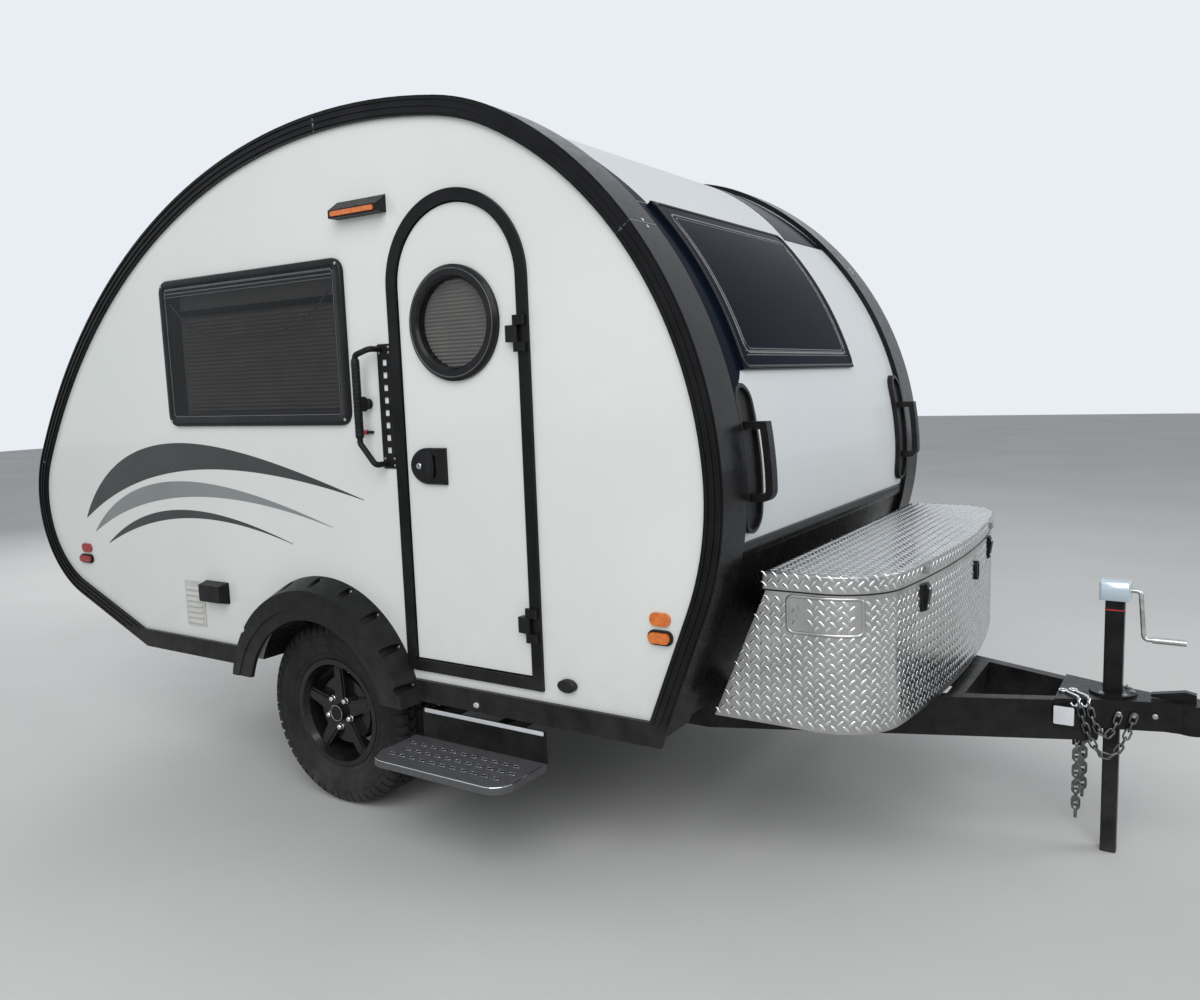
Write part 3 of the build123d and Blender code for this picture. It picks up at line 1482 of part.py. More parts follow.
# Stabilisers: a leg that swings down between two bracket cheeks under each corner
def stabiliser_bracket(x, y):
    """Pair of cheeks and a pin under the frame at a corner."""
    half = leg_section / 2 + leg_side_gap
    with BuildPart() as bracket:
        for side in (1, -1):
            with BuildSketch(at_y(y + side * (half + leg_bracket / 2) + leg_bracket / 2)):
                with Locations((x, (leg_pivot_z + floor_bottom) / 2)):
                    Rectangle(2 * leg_bracket_half, floor_bottom - leg_pivot_z)
                with Locations((x, leg_pivot_z)):
                    Circle(leg_bracket_half)
            extrude(amount=leg_bracket)
        with BuildSketch(at_y(y + half)):
            with Locations((x, leg_pivot_z)):
                Circle(leg_pin)
        extrude(amount=2 * half)
    return bracket.part


def stabiliser_leg(x, y, way):
    """Leg folded up level, pointing along X one way from its pivot."""
    with BuildPart() as leg:
        with BuildSketch(at_y(y + leg_section / 2)):
            with Locations((x + way * leg_length / 2, leg_pivot_z)):
                Rectangle(leg_length, leg_section)
            with Locations((x, leg_pivot_z)):
                Circle(leg_section / 2)
            with Locations((x, leg_pivot_z)):
                Circle(leg_pin + running_gap, mode=Mode.SUBTRACT)
        extrude(amount=leg_section)
        with BuildSketch(Plane.XY.offset(leg_pivot_z - leg_section / 2)):
            with Locations((x + way * (leg_length + leg_shoe_sheet / 2), y)):
                Rectangle(leg_shoe_sheet, leg_shoe)
        extrude(amount=leg_section)
    return leg.part


with BuildPart() as stabiliser_brackets:
    for corner_x in (leg_front_x, leg_rear_x):
        for corner_y in (leg_y, -leg_y):
            add(stabiliser_bracket(corner_x, corner_y))
save(stabiliser_brackets, "stabiliser_brackets")

for end, corner_x, way in (("front", leg_front_x, -1), ("rear", leg_rear_x, 1)):
    for hand, corner_y in (("left", leg_y), ("right", -leg_y)):
        with BuildPart() as stabiliser:
            add(stabiliser_leg(corner_x, corner_y, way))
        save(stabiliser, f"stabiliser_{end}_{hand}")


def lamp_face(datum, edges, inset):
    """Rounded lamp outline from its edges ahead of a datum, moved inwards by inset."""
    rear, front, low_z, high_z = edges
    corner = (high_z - low_z) / 2 - inset
    return rounded_face(datum + rear + inset, datum + front - inset, low_z + inset, high_z - inset, 0.96 * corner)


# Black lamp bodies: oval bezels, a wedge over the wheel on each side and two at the tail
tail_lamp_base = skin_stand + tail_lamp_stand
with BuildPart() as lamp_housings:
    for datum, edges in ((nose_foot_x, front_marker), (tail_x, rear_marker)):
        with BuildSketch(at_y(-wall_face)):
            add(lamp_face(datum, edges, 0))
        extrude(amount=marker_stand)
    with BuildSketch(Plane.YZ.offset(wedge_rear_x)):
        with BuildLine():
            Polyline(
                (-wall_face, wedge_high_z),
                (-wall_face, wedge_low_z),
                (-wall_face - wedge_stand, wedge_low_z),
                (-wall_face - wedge_stand, wedge_low_z + wedge_lip),
                close=True,
            )
        make_face()
    extrude(amount=wedge_front_x - wedge_rear_x)
    with BuildSketch(at_y(-tail_lamp_y + tail_lamp_half)):
        add(band_between("waist", "tail_top", tail_lamp_base, skin_stand))
    extrude(amount=2 * tail_lamp_half)
    mirror(about=Plane.XZ)
save(lamp_housings, "lamp_housings")

with BuildPart() as lenses_amber:
    with BuildSketch(at_y(-wall_face - marker_stand)):
        add(lamp_face(nose_foot_x, front_marker, marker_rim))
    extrude(amount=lens_stand - marker_stand)
    with BuildSketch(at_y(-wall_face)):
        add(lamp_face(nose_foot_x, front_reflector, 0))
    extrude(amount=reflector_stand)
    with BuildSketch(at_y(-wall_face - wedge_stand)):
        add(rounded_face(wedge_rear_x + wedge_lens_margin, wedge_front_x - wedge_lens_margin,
                         wedge_low_z + wedge_lens_low, wedge_low_z + wedge_lens_low + wedge_lens_height,
                         wedge_lens_corner))
    extrude(amount=wedge_lens_stand)
    mirror(about=Plane.XZ)
save(lenses_amber, "lenses_amber")

with BuildPart() as lenses_red:
    with BuildSketch(at_y(-wall_face - marker_stand)):
        add(lamp_face(tail_x, rear_marker, marker_rim))
    extrude(amount=lens_stand - marker_stand)
    with BuildSketch(at_y(-wall_face)):
        add(lamp_face(tail_x, rear_reflector, 0))
    extrude(amount=reflector_stand)
    with BuildSketch(at_y(-tail_lamp_y + tail_lamp_half - tail_lens_margin)):
        add(band_between("waist", "tail_top", tail_lamp_base + tail_lens_stand, tail_lamp_base))
    extrude(amount=2 * (tail_lamp_half - tail_lens_margin))
    mirror(about=Plane.XZ)
save(lenses_red, "lenses_red")

# Louvred vent: a plate with a stack of drafted blades
flare_rear_x = wheel_x - flare_wall_radius
louvre_rear_x = tail_x + louvre_share * (flare_rear_x - tail_x)
louvre_front_x = louvre_rear_x + louvre_width
louvre_pitch = (louvre_high_z - louvre_low_z - 2 * louvre_margin) / louvre_count
with BuildPart() as louvre_vent:
    with BuildSketch(at_y(-wall_face)):
        add(rounded_face(louvre_rear_x, louvre_front_x, louvre_low_z, louvre_high_z, louvre_margin / 2))
    extrude(amount=louvre_sheet)
    for row in range(louvre_count):
        foot = louvre_low_z + louvre_margin + row * louvre_pitch
        with BuildSketch(Plane.YZ.offset(louvre_rear_x + louvre_margin)):
            with BuildLine():
                Polyline(
                    (-wall_face, foot),
                    (-wall_face - louvre_depth, foot),
                    (-wall_face, foot + louvre_pitch - louvre_blade_gap),
                    close=True,
                )
            make_face()
        extrude(amount=louvre_width - 2 * louvre_margin)
save(louvre_vent, "louvre_vent")

# Exhaust hood: a drafted box open at the bottom
hood_rear_x = louvre_front_x + hood_louvre_gap
hood_middle_x = hood_rear_x + hood_width / 2
with BuildPart() as vent_hood:
    with BuildSketch(at_y(-wall_face)):
        add(rounded_face(hood_rear_x, hood_rear_x + hood_width, hood_low_z, hood_high_z, hood_sheet / 2))
    extrude(amount=hood_stand, taper=hood_taper)
    with BuildSketch(Plane.XY.offset(hood_low_z)):
        with Locations((hood_middle_x, -wall_face - (hood_stand - hood_sheet) / 2)):
            Rectangle(hood_width - 3 * hood_sheet, hood_stand - hood_sheet)
    extrude(amount=(hood_high_z - hood_low_z) * hood_mouth_share, mode=Mode.SUBTRACT)
save(vent_hood, "vent_hood")

# Power inlet with an oval flap
with BuildPart() as power_inlet:
    with BuildSketch(at_y(-wall_face)):
        with Locations((inlet_x, inlet_z)):
            Ellipse(inlet_length / 2, inlet_height / 2)
    extrude(amount=inlet_stand)
    chamfer(power_inlet.faces().sort_by(Axis.Y)[0].edges(), inlet_bevel)
save(power_inlet, "power_inlet")

# Safety chains: flat stadium links, every second one turned a quarter
link_bend = chain_width / 2 - chain_wire
wire_dip = link_bend - math.sqrt(link_bend ** 2 - (chain_wire / 2) ** 2)
tab_dip = link_bend - math.sqrt(link_bend ** 2 - (chain_tab_thickness / 2) ** 2)
link_pitch = chain_length - 2 * chain_wire - 2 * wire_dip - seat_gap
wire_sag = math.sqrt((chain_tab_hole - seat_gap) ** 2 - (chain_wire / 2) ** 2)
first_link_z = rail_low_z - chain_tab_drop - wire_sag - chain_length / 2 + chain_wire + tab_dip
with BuildPart() as safety_chains:
    for count in range(chain_links):
        face_plane = Plane.XZ if count % 2 else Plane.YZ
        with BuildSketch(Plane(origin=(chain_x, chain_y, first_link_z - count * link_pitch),
                               z_dir=face_plane.z_dir, x_dir=face_plane.x_dir)):
            SlotOverall(chain_length, chain_width, rotation=90)
            SlotOverall(chain_length - 2 * chain_wire, chain_width - 2 * chain_wire, rotation=90,
                        mode=Mode.SUBTRACT)
        extrude(amount=chain_wire / 2, both=True)
    mirror(about=Plane.XZ)
save(safety_chains, "safety_chains")

# Coupler latch: a lever lying on the nose, with a rounded end
with BuildPart() as coupler_latch:
    with BuildSketch(Plane.XZ.offset(latch_lever_width / 2)):
        with BuildLine():
            Polyline([(nose_x - behind, coupler_top_z + rise) for behind, rise in lever_side], close=True)
        make_face()
    extrude(amount=-latch_lever_width)
save(coupler_latch, "coupler_latch")
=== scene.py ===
import bpy
import bmesh
from math import copysign, cos, degrees, dist, pi, radians, sin, sqrt
from mathutils import Matrix, Vector
from mathutils.bvhtree import BVHTree


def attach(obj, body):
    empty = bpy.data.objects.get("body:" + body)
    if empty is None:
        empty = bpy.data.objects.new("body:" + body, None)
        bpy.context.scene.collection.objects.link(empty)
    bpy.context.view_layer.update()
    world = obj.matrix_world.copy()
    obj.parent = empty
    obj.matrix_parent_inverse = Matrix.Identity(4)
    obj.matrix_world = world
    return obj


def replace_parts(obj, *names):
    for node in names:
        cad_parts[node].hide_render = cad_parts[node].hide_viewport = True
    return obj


# A teardrop travel trailer, dressed on its CAD frame. Metres, +X to the hitch, +Y to the left, +Z up.
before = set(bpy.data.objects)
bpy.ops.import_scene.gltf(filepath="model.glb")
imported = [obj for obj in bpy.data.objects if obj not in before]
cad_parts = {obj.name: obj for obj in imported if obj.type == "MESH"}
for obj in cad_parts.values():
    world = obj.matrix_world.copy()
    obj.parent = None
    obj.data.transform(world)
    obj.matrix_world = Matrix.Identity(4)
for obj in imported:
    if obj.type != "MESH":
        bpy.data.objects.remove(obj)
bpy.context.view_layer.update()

# Camera, solved from the photograph: its place, and its turns in degrees
camera_place = Vector((0.2591, -3.3319, 1.5496))
camera_turns = (("X", 90), ("Y", 32.932), ("X", -7.032), ("Z", -2.004))
focal_pixels = 965.128
frame_pixels = 1200
sensor_width = 36
view_depth = 200


def make_camera():
    """Camera at the photograph's place and angle."""
    data = bpy.data.cameras.new("camera")
    data.sensor_width = sensor_width
    data.lens = sensor_width * focal_pixels / frame_pixels
    data.clip_end = view_depth
    camera = bpy.data.objects.new("camera", data)
    bpy.context.scene.collection.objects.link(camera)
    facing = Matrix.Translation(camera_place)
    for axis, angle in camera_turns:
        facing = facing @ Matrix.Rotation(radians(angle), 4, axis)
    camera.matrix_world = facing
    bpy.context.scene.camera = camera


make_camera()
bpy.context.scene.view_settings.view_transform = "Standard"

# Materials
finishes = {}
coat_roughness = 0.05
noise_roughness = 0.55
road_dust = (0.33, 0.31, 0.27)
dust_scale = 14
dust_dulling = 0.3
grain_depth = 0.001
mix_first, mix_second, mix_result = 6, 7, 2


def add_node(tree, kind, inputs, **settings):
    """Shader node with its inputs set to values or linked to sockets."""
    made = tree.nodes.new("ShaderNode" + kind)
    for setting, value in settings.items():
        setattr(made, setting, value)
    for socket, value in inputs.items():
        if isinstance(value, bpy.types.NodeSocket):
            tree.links.new(value, made.inputs[socket])
        else:
            made.inputs[socket].default_value = value
    return made


def new_material(name, metal=0, coat=0, specular=0.5, alpha=1):
    """Material with a plain shader. Returns it with its tree and shader."""
    made = bpy.data.materials.new(name)
    made.use_nodes = True
    shader = made.node_tree.nodes["Principled BSDF"]
    for socket, value in (("Metallic", metal), ("Coat Weight", coat), ("Coat Roughness", coat_roughness),
            ("Specular IOR Level", specular), ("Alpha", alpha)):
        shader.inputs[socket].default_value = value
    return made, made.node_tree, shader


def object_place(tree):
    """Object coordinates."""
    return add_node(tree, "TexCoord", {}).outputs["Object"]


def noise(tree, vector, scale, detail=4):
    """Noise value from 0 to 1."""
    return add_node(tree, "TexNoise", {"Vector": vector, "Scale": scale, "Detail": detail,
        "Roughness": noise_roughness}).outputs["Fac"]


def spread(tree, value, low, high, low_out, high_out):
    """Value between two limits, mapped to two other limits."""
    return add_node(tree, "MapRange", {"Value": value, "From Min": low, "From Max": high, "To Min": low_out,
        "To Max": high_out}).outputs["Result"]


def mix_colour(tree, share, first, second):
    """Mix of two colours or sockets."""
    first, second = ((*colour, 1) if isinstance(colour, tuple) else colour for colour in (first, second))
    made = add_node(tree, "Mix", {"Factor": share, mix_first: first, mix_second: second}, data_type="RGBA")
    return made.outputs[mix_result]


def arithmetic(tree, kind, first, second):
    """Math operation on values or sockets."""
    return add_node(tree, "Math", {0: first, 1: second}, operation=kind).outputs["Value"]


def painted(name, colour, other, rough, uneven, mottle, grain_scale=0, grain=0, dust=None, stretch=(1, 1, 1),
        nodes="", **sockets):
    """Finish with drifting colour, uneven gloss, fine grain and dust (two heights, share), put on nodes."""
    made, tree, shader = new_material(name, **sockets)
    vector = add_node(tree, "Mapping", {"Vector": object_place(tree), "Scale": stretch}).outputs["Vector"]
    drift = spread(tree, noise(tree, vector, mottle), 0.35, 0.65, 0, 1)
    tone = mix_colour(tree, drift, colour, other)
    gloss = spread(tree, noise(tree, vector, 3 * mottle), 0.3, 0.7, rough - uneven, rough + uneven)
    if dust:
        low, high, most = dust
        height = add_node(tree, "SeparateXYZ", {"Vector": object_place(tree)}).outputs["Z"]
        patches = spread(tree, noise(tree, vector, dust_scale), 0.3, 0.7, 0.3, 1.4)
        share = arithmetic(tree, "MULTIPLY", spread(tree, height, low, high, most, 0), patches)
        tone = mix_colour(tree, share, tone, road_dust)
        gloss = arithmetic(tree, "ADD", gloss, arithmetic(tree, "MULTIPLY", share, dust_dulling))
    tree.links.new(tone, shader.inputs["Base Color"])
    tree.links.new(gloss, shader.inputs["Roughness"])
    if grain:
        bump = add_node(tree, "Bump", {"Height": noise(tree, vector, grain_scale, 2), "Strength": grain,
            "Distance": grain_depth})
        tree.links.new(bump.outputs["Normal"], shader.inputs["Normal"])
    finishes[name] = made
    for node in nodes.split():
        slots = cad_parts[node].data.materials
        slots.clear()
        slots.append(made)


# Each call: name, the two colours, roughness and its spread, scale of the drift, then scale and strength of the grain
painted("white_gel", (0.8, 0.82, 0.79), (0.76, 0.785, 0.76), 0.24, 0.04, 1.2, 320, 0.03, coat=0.5,
    dust=(0.5, 0.95, 0.1), nodes="side_wall_left side_wall_right door_leaf")
painted("gloss_white", (0.68, 0.7, 0.71), (0.64, 0.67, 0.68), 0.36, 0.04, 1, 120, 0.02, coat=0.08, specular=0.12,
    nodes="front_panel roof_panel rear_panel rear_hatch")
painted("black_trim", (0.006, 0.006, 0.0065), (0.011, 0.011, 0.0115), 0.24, 0.06, 9, 900, 0.08, specular=0.14,
    dust=(0.42, 0.75, 0.06), nodes="edge_trim_left edge_trim_right door_frame front_apron wheel_wells")
painted("black_plastic", (0.008, 0.008, 0.0085), (0.015, 0.015, 0.0155), 0.4, 0.08, 20, 1400, 0.3, specular=0.16,
    dust=(0.4, 0.8, 0.07), nodes="flare_left flare_right front_handles lamp_housings "
    "vent_hood power_inlet tub_latches grab_plate grab_handle")
painted("black_gloss", (0.01, 0.01, 0.011), (0.016, 0.016, 0.017), 0.2, 0.05, 12, 600, 0.03, specular=0.18,
    nodes="porthole_ring door_latch roof_vent_lid")
painted("black_steel", (0.006, 0.006, 0.007), (0.014, 0.014, 0.014), 0.32, 0.08, 18, 420, 0.06, specular=0.15,
    dust=(0, 0.55, 0.08), nodes="axle_beam coupler coupler_latch frame_crossmembers "
    "frame_rail_left frame_rail_right jack_leg jack_tube step_bracket swing_arms stabiliser_brackets")
painted("step_grit", (0.07, 0.07, 0.074), (0.095, 0.095, 0.099), 0.5, 0.1, 60, 900, 0.5, nodes="step_tread")
painted("wheel_black", (0.005, 0.005, 0.005), (0.009, 0.009, 0.009), 0.18, 0.06, 25, 500, 0.04, coat=0.12,
    specular=0.28, dust=(0.1, 0.6, 0.03), nodes="rim_left rim_right")
painted("bright_plate", (0.5, 0.5, 0.49), (0.4, 0.4, 0.39), 0.26, 0.08, 9, 260, 0.12, metal=1,
    nodes="tub_body tub_lid")
painted("lug_polish", (0.8, 0.81, 0.82), (0.66, 0.67, 0.67), 0.12, 0.05, 30, 500, 0.05, metal=1)
painted("worn_steel", (0.3, 0.3, 0.31), (0.2, 0.2, 0.2), 0.28, 0.08, 50, 500, 0.12, metal=1)
painted("white_plate", (0.72, 0.74, 0.76), (0.66, 0.68, 0.7), 0.22, 0.05, 20, 400, 0.05)
painted("jack_plate", (0.62, 0.72, 0.8), (0.55, 0.65, 0.72), 0.16, 0.05, 25, 400, 0.06, metal=0.6)
painted("zinc", (0.55, 0.55, 0.53), (0.38, 0.38, 0.37), 0.34, 0.1, 45, 600, 0.15, metal=1,
    nodes="jack_crank stabiliser_front_left stabiliser_front_right stabiliser_rear_left stabiliser_rear_right")
painted("dark_zinc", (0.2, 0.2, 0.2), (0.1, 0.1, 0.1), 0.36, 0.1, 45, 600, 0.15, metal=1, nodes="safety_chains")
painted("chrome", (0.78, 0.79, 0.8), (0.68, 0.69, 0.7), 0.08, 0.03, 30, 700, 0.04, metal=1)
painted("tyre_rubber", (0.013, 0.013, 0.014), (0.022, 0.022, 0.023), 0.62, 0.1, 16, 700, 0.35, specular=0.18,
    dust=(0, 0.25, 0.14), nodes="tyre_left tyre_right")
painted("seal_rubber", (0.012, 0.012, 0.012), (0.022, 0.022, 0.022), 0.55, 0.08, 30, 900, 0.25, specular=0.18,
    nodes="tub_seal")
painted("seal_shine", (0.05, 0.052, 0.056), (0.075, 0.078, 0.084), 0.16, 0.05, 40, 700, 0.05, coat=0.5)
painted("smoked", (0.004, 0.006, 0.012), (0.006, 0.009, 0.017), 0.06, 0.02, 2, specular=0.01,
    nodes="window_left window_right front_window rear_window")
painted("navy_gloss", (0.004, 0.006, 0.013), (0.006, 0.01, 0.02), 0.16, 0.03, 2, 150, 0.02, specular=0.01)
painted("smoked_pane", (0.004, 0.004, 0.005), (0.007, 0.007, 0.009), 0.05, 0.02, 2, specular=0.3, alpha=0.46)
painted("clear_pane", (0.01, 0.012, 0.013), (0.016, 0.018, 0.02), 0.04, 0.015, 2, specular=0.6, alpha=0.26,
    nodes="porthole_glass")
painted("blind", (0.42, 0.41, 0.38), (0.36, 0.35, 0.33), 0.8, 0.05, 10, 1500, 0.4, nodes="window_blinds")
painted("pale_plastic", (0.6, 0.6, 0.56), (0.52, 0.52, 0.49), 0.42, 0.06, 12, 800, 0.12,
    nodes="louvre_vent roof_vent_base")
painted("floor_board", (0.055, 0.05, 0.045), (0.035, 0.033, 0.03), 0.7, 0.1, 8, 300, 0.5, stretch=(0.3, 1, 1),
    nodes="floor_panel")
painted("amber", (0.8, 0.2, 0.015), (0.6, 0.12, 0.01), 0.14, 0.04, 60, coat=0.5, nodes="lenses_amber")
painted("red", (0.42, 0.02, 0.02), (0.28, 0.012, 0.012), 0.14, 0.04, 60, coat=0.5, nodes="lenses_red")
painted("red_paint", (0.48, 0.03, 0.02), (0.36, 0.02, 0.015), 0.35, 0.08, 40, 500, 0.1)
painted("pale_line", (0.3, 0.3, 0.31), (0.22, 0.22, 0.23), 0.3, 0.06, 30, 500, 0.05)
painted("charcoal_film", (0.03, 0.033, 0.034), (0.044, 0.047, 0.048), 0.3, 0.05, 3, 500, 0.05, coat=0.3)
painted("grey_film", (0.22, 0.24, 0.24), (0.27, 0.29, 0.29), 0.32, 0.05, 3, 500, 0.05, coat=0.3)

rightward = Vector((0, -1, 0))
upward = Vector((0, 0, 1))

# Body outline in the side view, as in the part: a straight front edge and tangent arcs of (name, radius, turn)
nose_foot = Vector((-1.117, 0, 0.554))
nose_heading = 68.9
nose_run = 0.367
front_arc = 1.249
roof_arc = 2.351
body_arcs = (
    ("chin_low", 0.898, 9.6), ("chin_high", 0.898, 15.9), ("brow", front_arc, 12.4),
    ("front_sill", front_arc, 1.6), ("front_glass", front_arc, 23.4), ("front_header", front_arc, 1.6),
    ("shoulder", front_arc, 19.9), ("crown", 0.813, 16.4), ("roof", roof_arc, 46),
    ("rear_header", roof_arc, 1), ("rear_glass", roof_arc, 17.3), ("rear_sill", roof_arc, 1),
    ("waist", roof_arc, 4.2), ("tail_top", 0.379, 12), ("tail_hatch", 0.379, 75), ("tail_foot", 0.379, 12.5),
)
skin_stand = 0.04
trim_stand = 0.06
wall_y = 0.97
trim_y = 0.985
trim_inner_y = 0.83
skin_edge_y = 0.829


def ahead(heading):
    """Unit vector along a heading in the side view."""
    angle = radians(heading)
    return Vector((cos(angle), 0, sin(angle)))


def outward(heading):
    """Unit vector square to a heading, out of the body."""
    angle = radians(heading)
    return Vector((sin(angle), 0, -cos(angle)))


# Start heading, centre and radius of each arc
arcs = {}
point, turned = nose_foot + ahead(nose_heading) * nose_run, nose_heading
for name, radius, turn in body_arcs:
    centre = point - outward(turned) * radius
    arcs[name] = (turned, centre, radius)
    turned += turn
    point = centre + outward(turned) * radius


def start_of(name):
    """Heading at which a named arc starts."""
    return arcs[name][0]


def on_outline(heading, gap, y=0):
    """Point of the outline at a heading, moved outwards by gap, at this y."""
    start, centre, radius = [arc for arc in arcs.values() if arc[0] < heading][-1]
    return centre + outward(heading) * (radius + gap) + Vector((0, y, 0))


# Loops and paths
def shared(low, high, steps):
    """Even values from low to high, both included."""
    return [low + (high - low) * step / steps for step in range(steps + 1)]


def round_turns(count, start=0):
    """Even angles of one full turn."""
    return [start + 2 * pi * step / count for step in range(count)]


def upright(pairs, y):
    """Points from (x, z) pairs in the upright plane at this y."""
    return [Vector((x, y, z)) for x, z in pairs]


def rounded(low_u, high_u, low_v, high_v, corner, steps=6):
    """Rounded rectangle as (u, v) pairs, counterclockwise."""
    loop = []
    corners = ((high_u - corner, high_v - corner, 0), (low_u + corner, high_v - corner, 90),
        (low_u + corner, low_v + corner, 180), (high_u - corner, low_v + corner, 270))
    for middle_u, middle_v, first in corners:
        for turn in shared(first, first + 90, steps):
            angle = radians(turn)
            loop.append((middle_u + corner * cos(angle), middle_v + corner * sin(angle)))
    return loop


def slot_loop(reach, radius, count):
    """Circle of (u, v) pairs with its halves drawn apart along u."""
    return [(copysign(reach, cos(turn)) + radius * cos(turn), radius * sin(turn)) for turn in round_turns(count)]


def finely(loop, gap):
    """Closed loop of pairs with points added about a gap apart."""
    dense = []
    for (u, v), (next_u, next_v) in zip(loop, loop[1:] + loop[:1]):
        steps = max(1, int(dist((u, v), (next_u, next_v)) / gap))
        dense += [(u + (next_u - u) * step / steps, v + (next_v - v) * step / steps) for step in range(steps)]
    return dense


def paced(path, step):
    """Points of a path at least a step apart along it."""
    spots, travelled = [path[0]], 0
    for before, after in zip(path, path[1:]):
        travelled += (after - before).length
        if travelled >= step:
            spots.append(after)
            travelled = 0
    return spots


# Mesh building: each of these adds to a bmesh and returns it
bead_section = ((-0.5, -0.3), (-0.5, 0.2), (-0.28, 0.85), (0, 1), (0.28, 0.85), (0.5, 0.2), (0.5, -0.3))


def swept(mesh, sections, closed=False, footed=True):
    """Skin through cross-sections, capped at its ends unless closed or not footed."""
    rings = [[mesh.verts.new(point) for point in section] for section in sections]
    for near, far in zip(rings, rings[1:] + rings[:1] if closed else rings[1:]):
        for here, (low, high) in enumerate(zip(near, far)):
            mesh.faces.new((near[here - 1], low, high, far[here - 1]))
    if not closed:
        mesh.faces.new(rings[-1])
        if footed:
            mesh.faces.new(rings[0][::-1])
    return mesh


def ringed(mesh, loops):
    """Closed ring whose cross-sections have one point of each loop."""
    return swept(mesh, [list(section) for section in zip(*loops)], closed=True)


def plate(mesh, pairs, y, depth):
    """Prism from (x, z) pairs at this y, pushed along Y."""
    return swept(mesh, [upright(pairs, y), upright(pairs, y + depth)])


def ring_of(centre, side, other, radius, count, start=0):
    """Points of a circle in the plane of two unit vectors."""
    return [Vector(centre) + side * (radius * cos(turn)) + other * (radius * sin(turn))
        for turn in round_turns(count, start)]


def lathe(mesh, centre, axis, profile, count, start=0):
    """Turned solid from the (radius, height) pairs of its profile."""
    up = Vector(axis).normalized()
    side = up.orthogonal().normalized()
    return swept(mesh, [ring_of(Vector(centre) + up * height, side, up.cross(side), radius, count, start)
        for radius, height in profile])


def tube(mesh, path, radius, count=10, closed=False):
    """Round bar along a path of points."""
    line = [path[-1], *path, path[0]] if closed else [path[0], *path, path[-1]]
    sections, lead = [], None
    for before, point, after in zip(line, path, line[2:]):
        along = (after - before).normalized()
        lead = (along.orthogonal() if lead is None else lead - along * lead.dot(along)).normalized()
        sections.append(ring_of(point, lead, along.cross(lead), radius, count))
    return swept(mesh, sections, closed)


def bead_loop(mesh, points, outs, width, height):
    """Raised bead along a closed loop of points, with the way out at each."""
    sections = []
    for before, point, after, out in zip(points[-1:] + points, points, points[1:] + points[:1], outs):
        across = (after - before).normalized().cross(out).normalized()
        sections.append([point + across * (width * u) + out * (height * v) for u, v in bead_section])
    return swept(mesh, sections, closed=True)


def piece(name, mesh, finish, body="chassis", bevel=0, smooth=35):
    """Object from a bmesh, riding on a body."""
    bmesh.ops.recalc_face_normals(mesh, faces=mesh.faces)
    if bevel:
        sharp = [edge for edge in mesh.edges if edge.calc_face_angle(0) > radians(smooth)]
        bmesh.ops.bevel(mesh, geom=sharp, offset=bevel, segments=2, affect="EDGES", profile=0.5, clamp_overlap=True)
    data = bpy.data.meshes.new(name)
    mesh.to_mesh(data)
    mesh.free()
    made = bpy.data.objects.new(name, data)
    bpy.context.scene.collection.objects.link(made)
    data.materials.append(finishes[finish])
    data.shade_smooth()
    data.set_sharp_from_angle(angle=radians(smooth))
    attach(made, body)
    return made


def turned_piece(name, centre, axis, profile, count, finish, **settings):
    """Piece that is one turned solid."""
    piece(name, lathe(bmesh.new(), centre, axis, profile, count), finish, **settings)


def plate_piece(name, pairs, y, depth, finish, **settings):
    """Piece that is one plate."""
    piece(name, plate(bmesh.new(), pairs, y, depth), finish, **settings)


# Surfaces of CAD nodes, to seat small pieces on
node_surfaces = {}
screw_sink = 0.0005


def land_on(node, start, way):
    """Where a ray lands on a node, and the way out there. Both are None on a miss."""
    if node not in node_surfaces:
        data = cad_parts[node].data
        node_surfaces[node] = BVHTree.FromPolygons([vertex.co for vertex in data.vertices],
            [tuple(face.vertices) for face in data.polygons])
    way = Vector(way).normalized()
    point, out = node_surfaces[node].ray_cast(Vector(start), way)[:2]
    if point is not None and out.dot(way) >= 0:
        out = -out
    return point, out


def screws(mesh, node, starts, way, profile, count):
    """Turned heads where rays from the starts land on a node."""
    way = Vector(way)
    for start in starts:
        lathe(mesh, land_on(node, start, way)[0] + way * screw_sink, -way, profile, count)
    return mesh


# Tread plate on the tub: lens-shaped lugs that lean left and right by turns
tub_middle_x = -0.8
tub_press_x = -0.765
tub_press_y = -0.79
tub_flat = 0.061
tub_corner = 0.19
latch_y = 0.454
pull_y, pull_z = 0.134, 0.853
lid_top = 0.9895
lug_half_length = 0.0132
lug_half_width = 0.004
lug_rise = 0.0021
lug_sink = -0.0003
lug_row = 0.015
lug_plan = ((-1, 0, lug_sink), (-0.45, 0.95, lug_sink), (0.45, 0.95, lug_sink), (1, 0, lug_sink),
    (0.45, -0.95, lug_sink), (-0.45, -0.95, lug_sink), (-0.55, 0, lug_rise), (0.55, 0, lug_rise))
lug_faces = ((0, 1, 6), (1, 2, 7, 6), (2, 3, 7), (3, 4, 7), (4, 5, 6, 7), (5, 0, 6))


def add_lug(mesh, point, out, along):
    """One raised lug on a surface."""
    along = (along - out * along.dot(out)).normalized()
    across = out.cross(along)
    spots = [mesh.verts.new(point + along * (lug_half_length * u) + across * (lug_half_width * v) + out * rise)
        for u, v, rise in lug_plan]
    for corners in lug_faces:
        mesh.faces.new([spots[corner] for corner in corners])


def tub_walk(level):
    """Points one lug row apart round the tub at a level."""
    landed = []
    for turn in shared(-104, 104, 1600):
        way = Vector((cos(radians(turn)), sin(radians(turn)), 0))
        point, out = land_on("tub_body", Vector((tub_middle_x, 0, level)) + way * 1.2, -way)
        if out.x > -0.2:
            landed.append(point)
    return paced(landed, lug_row)


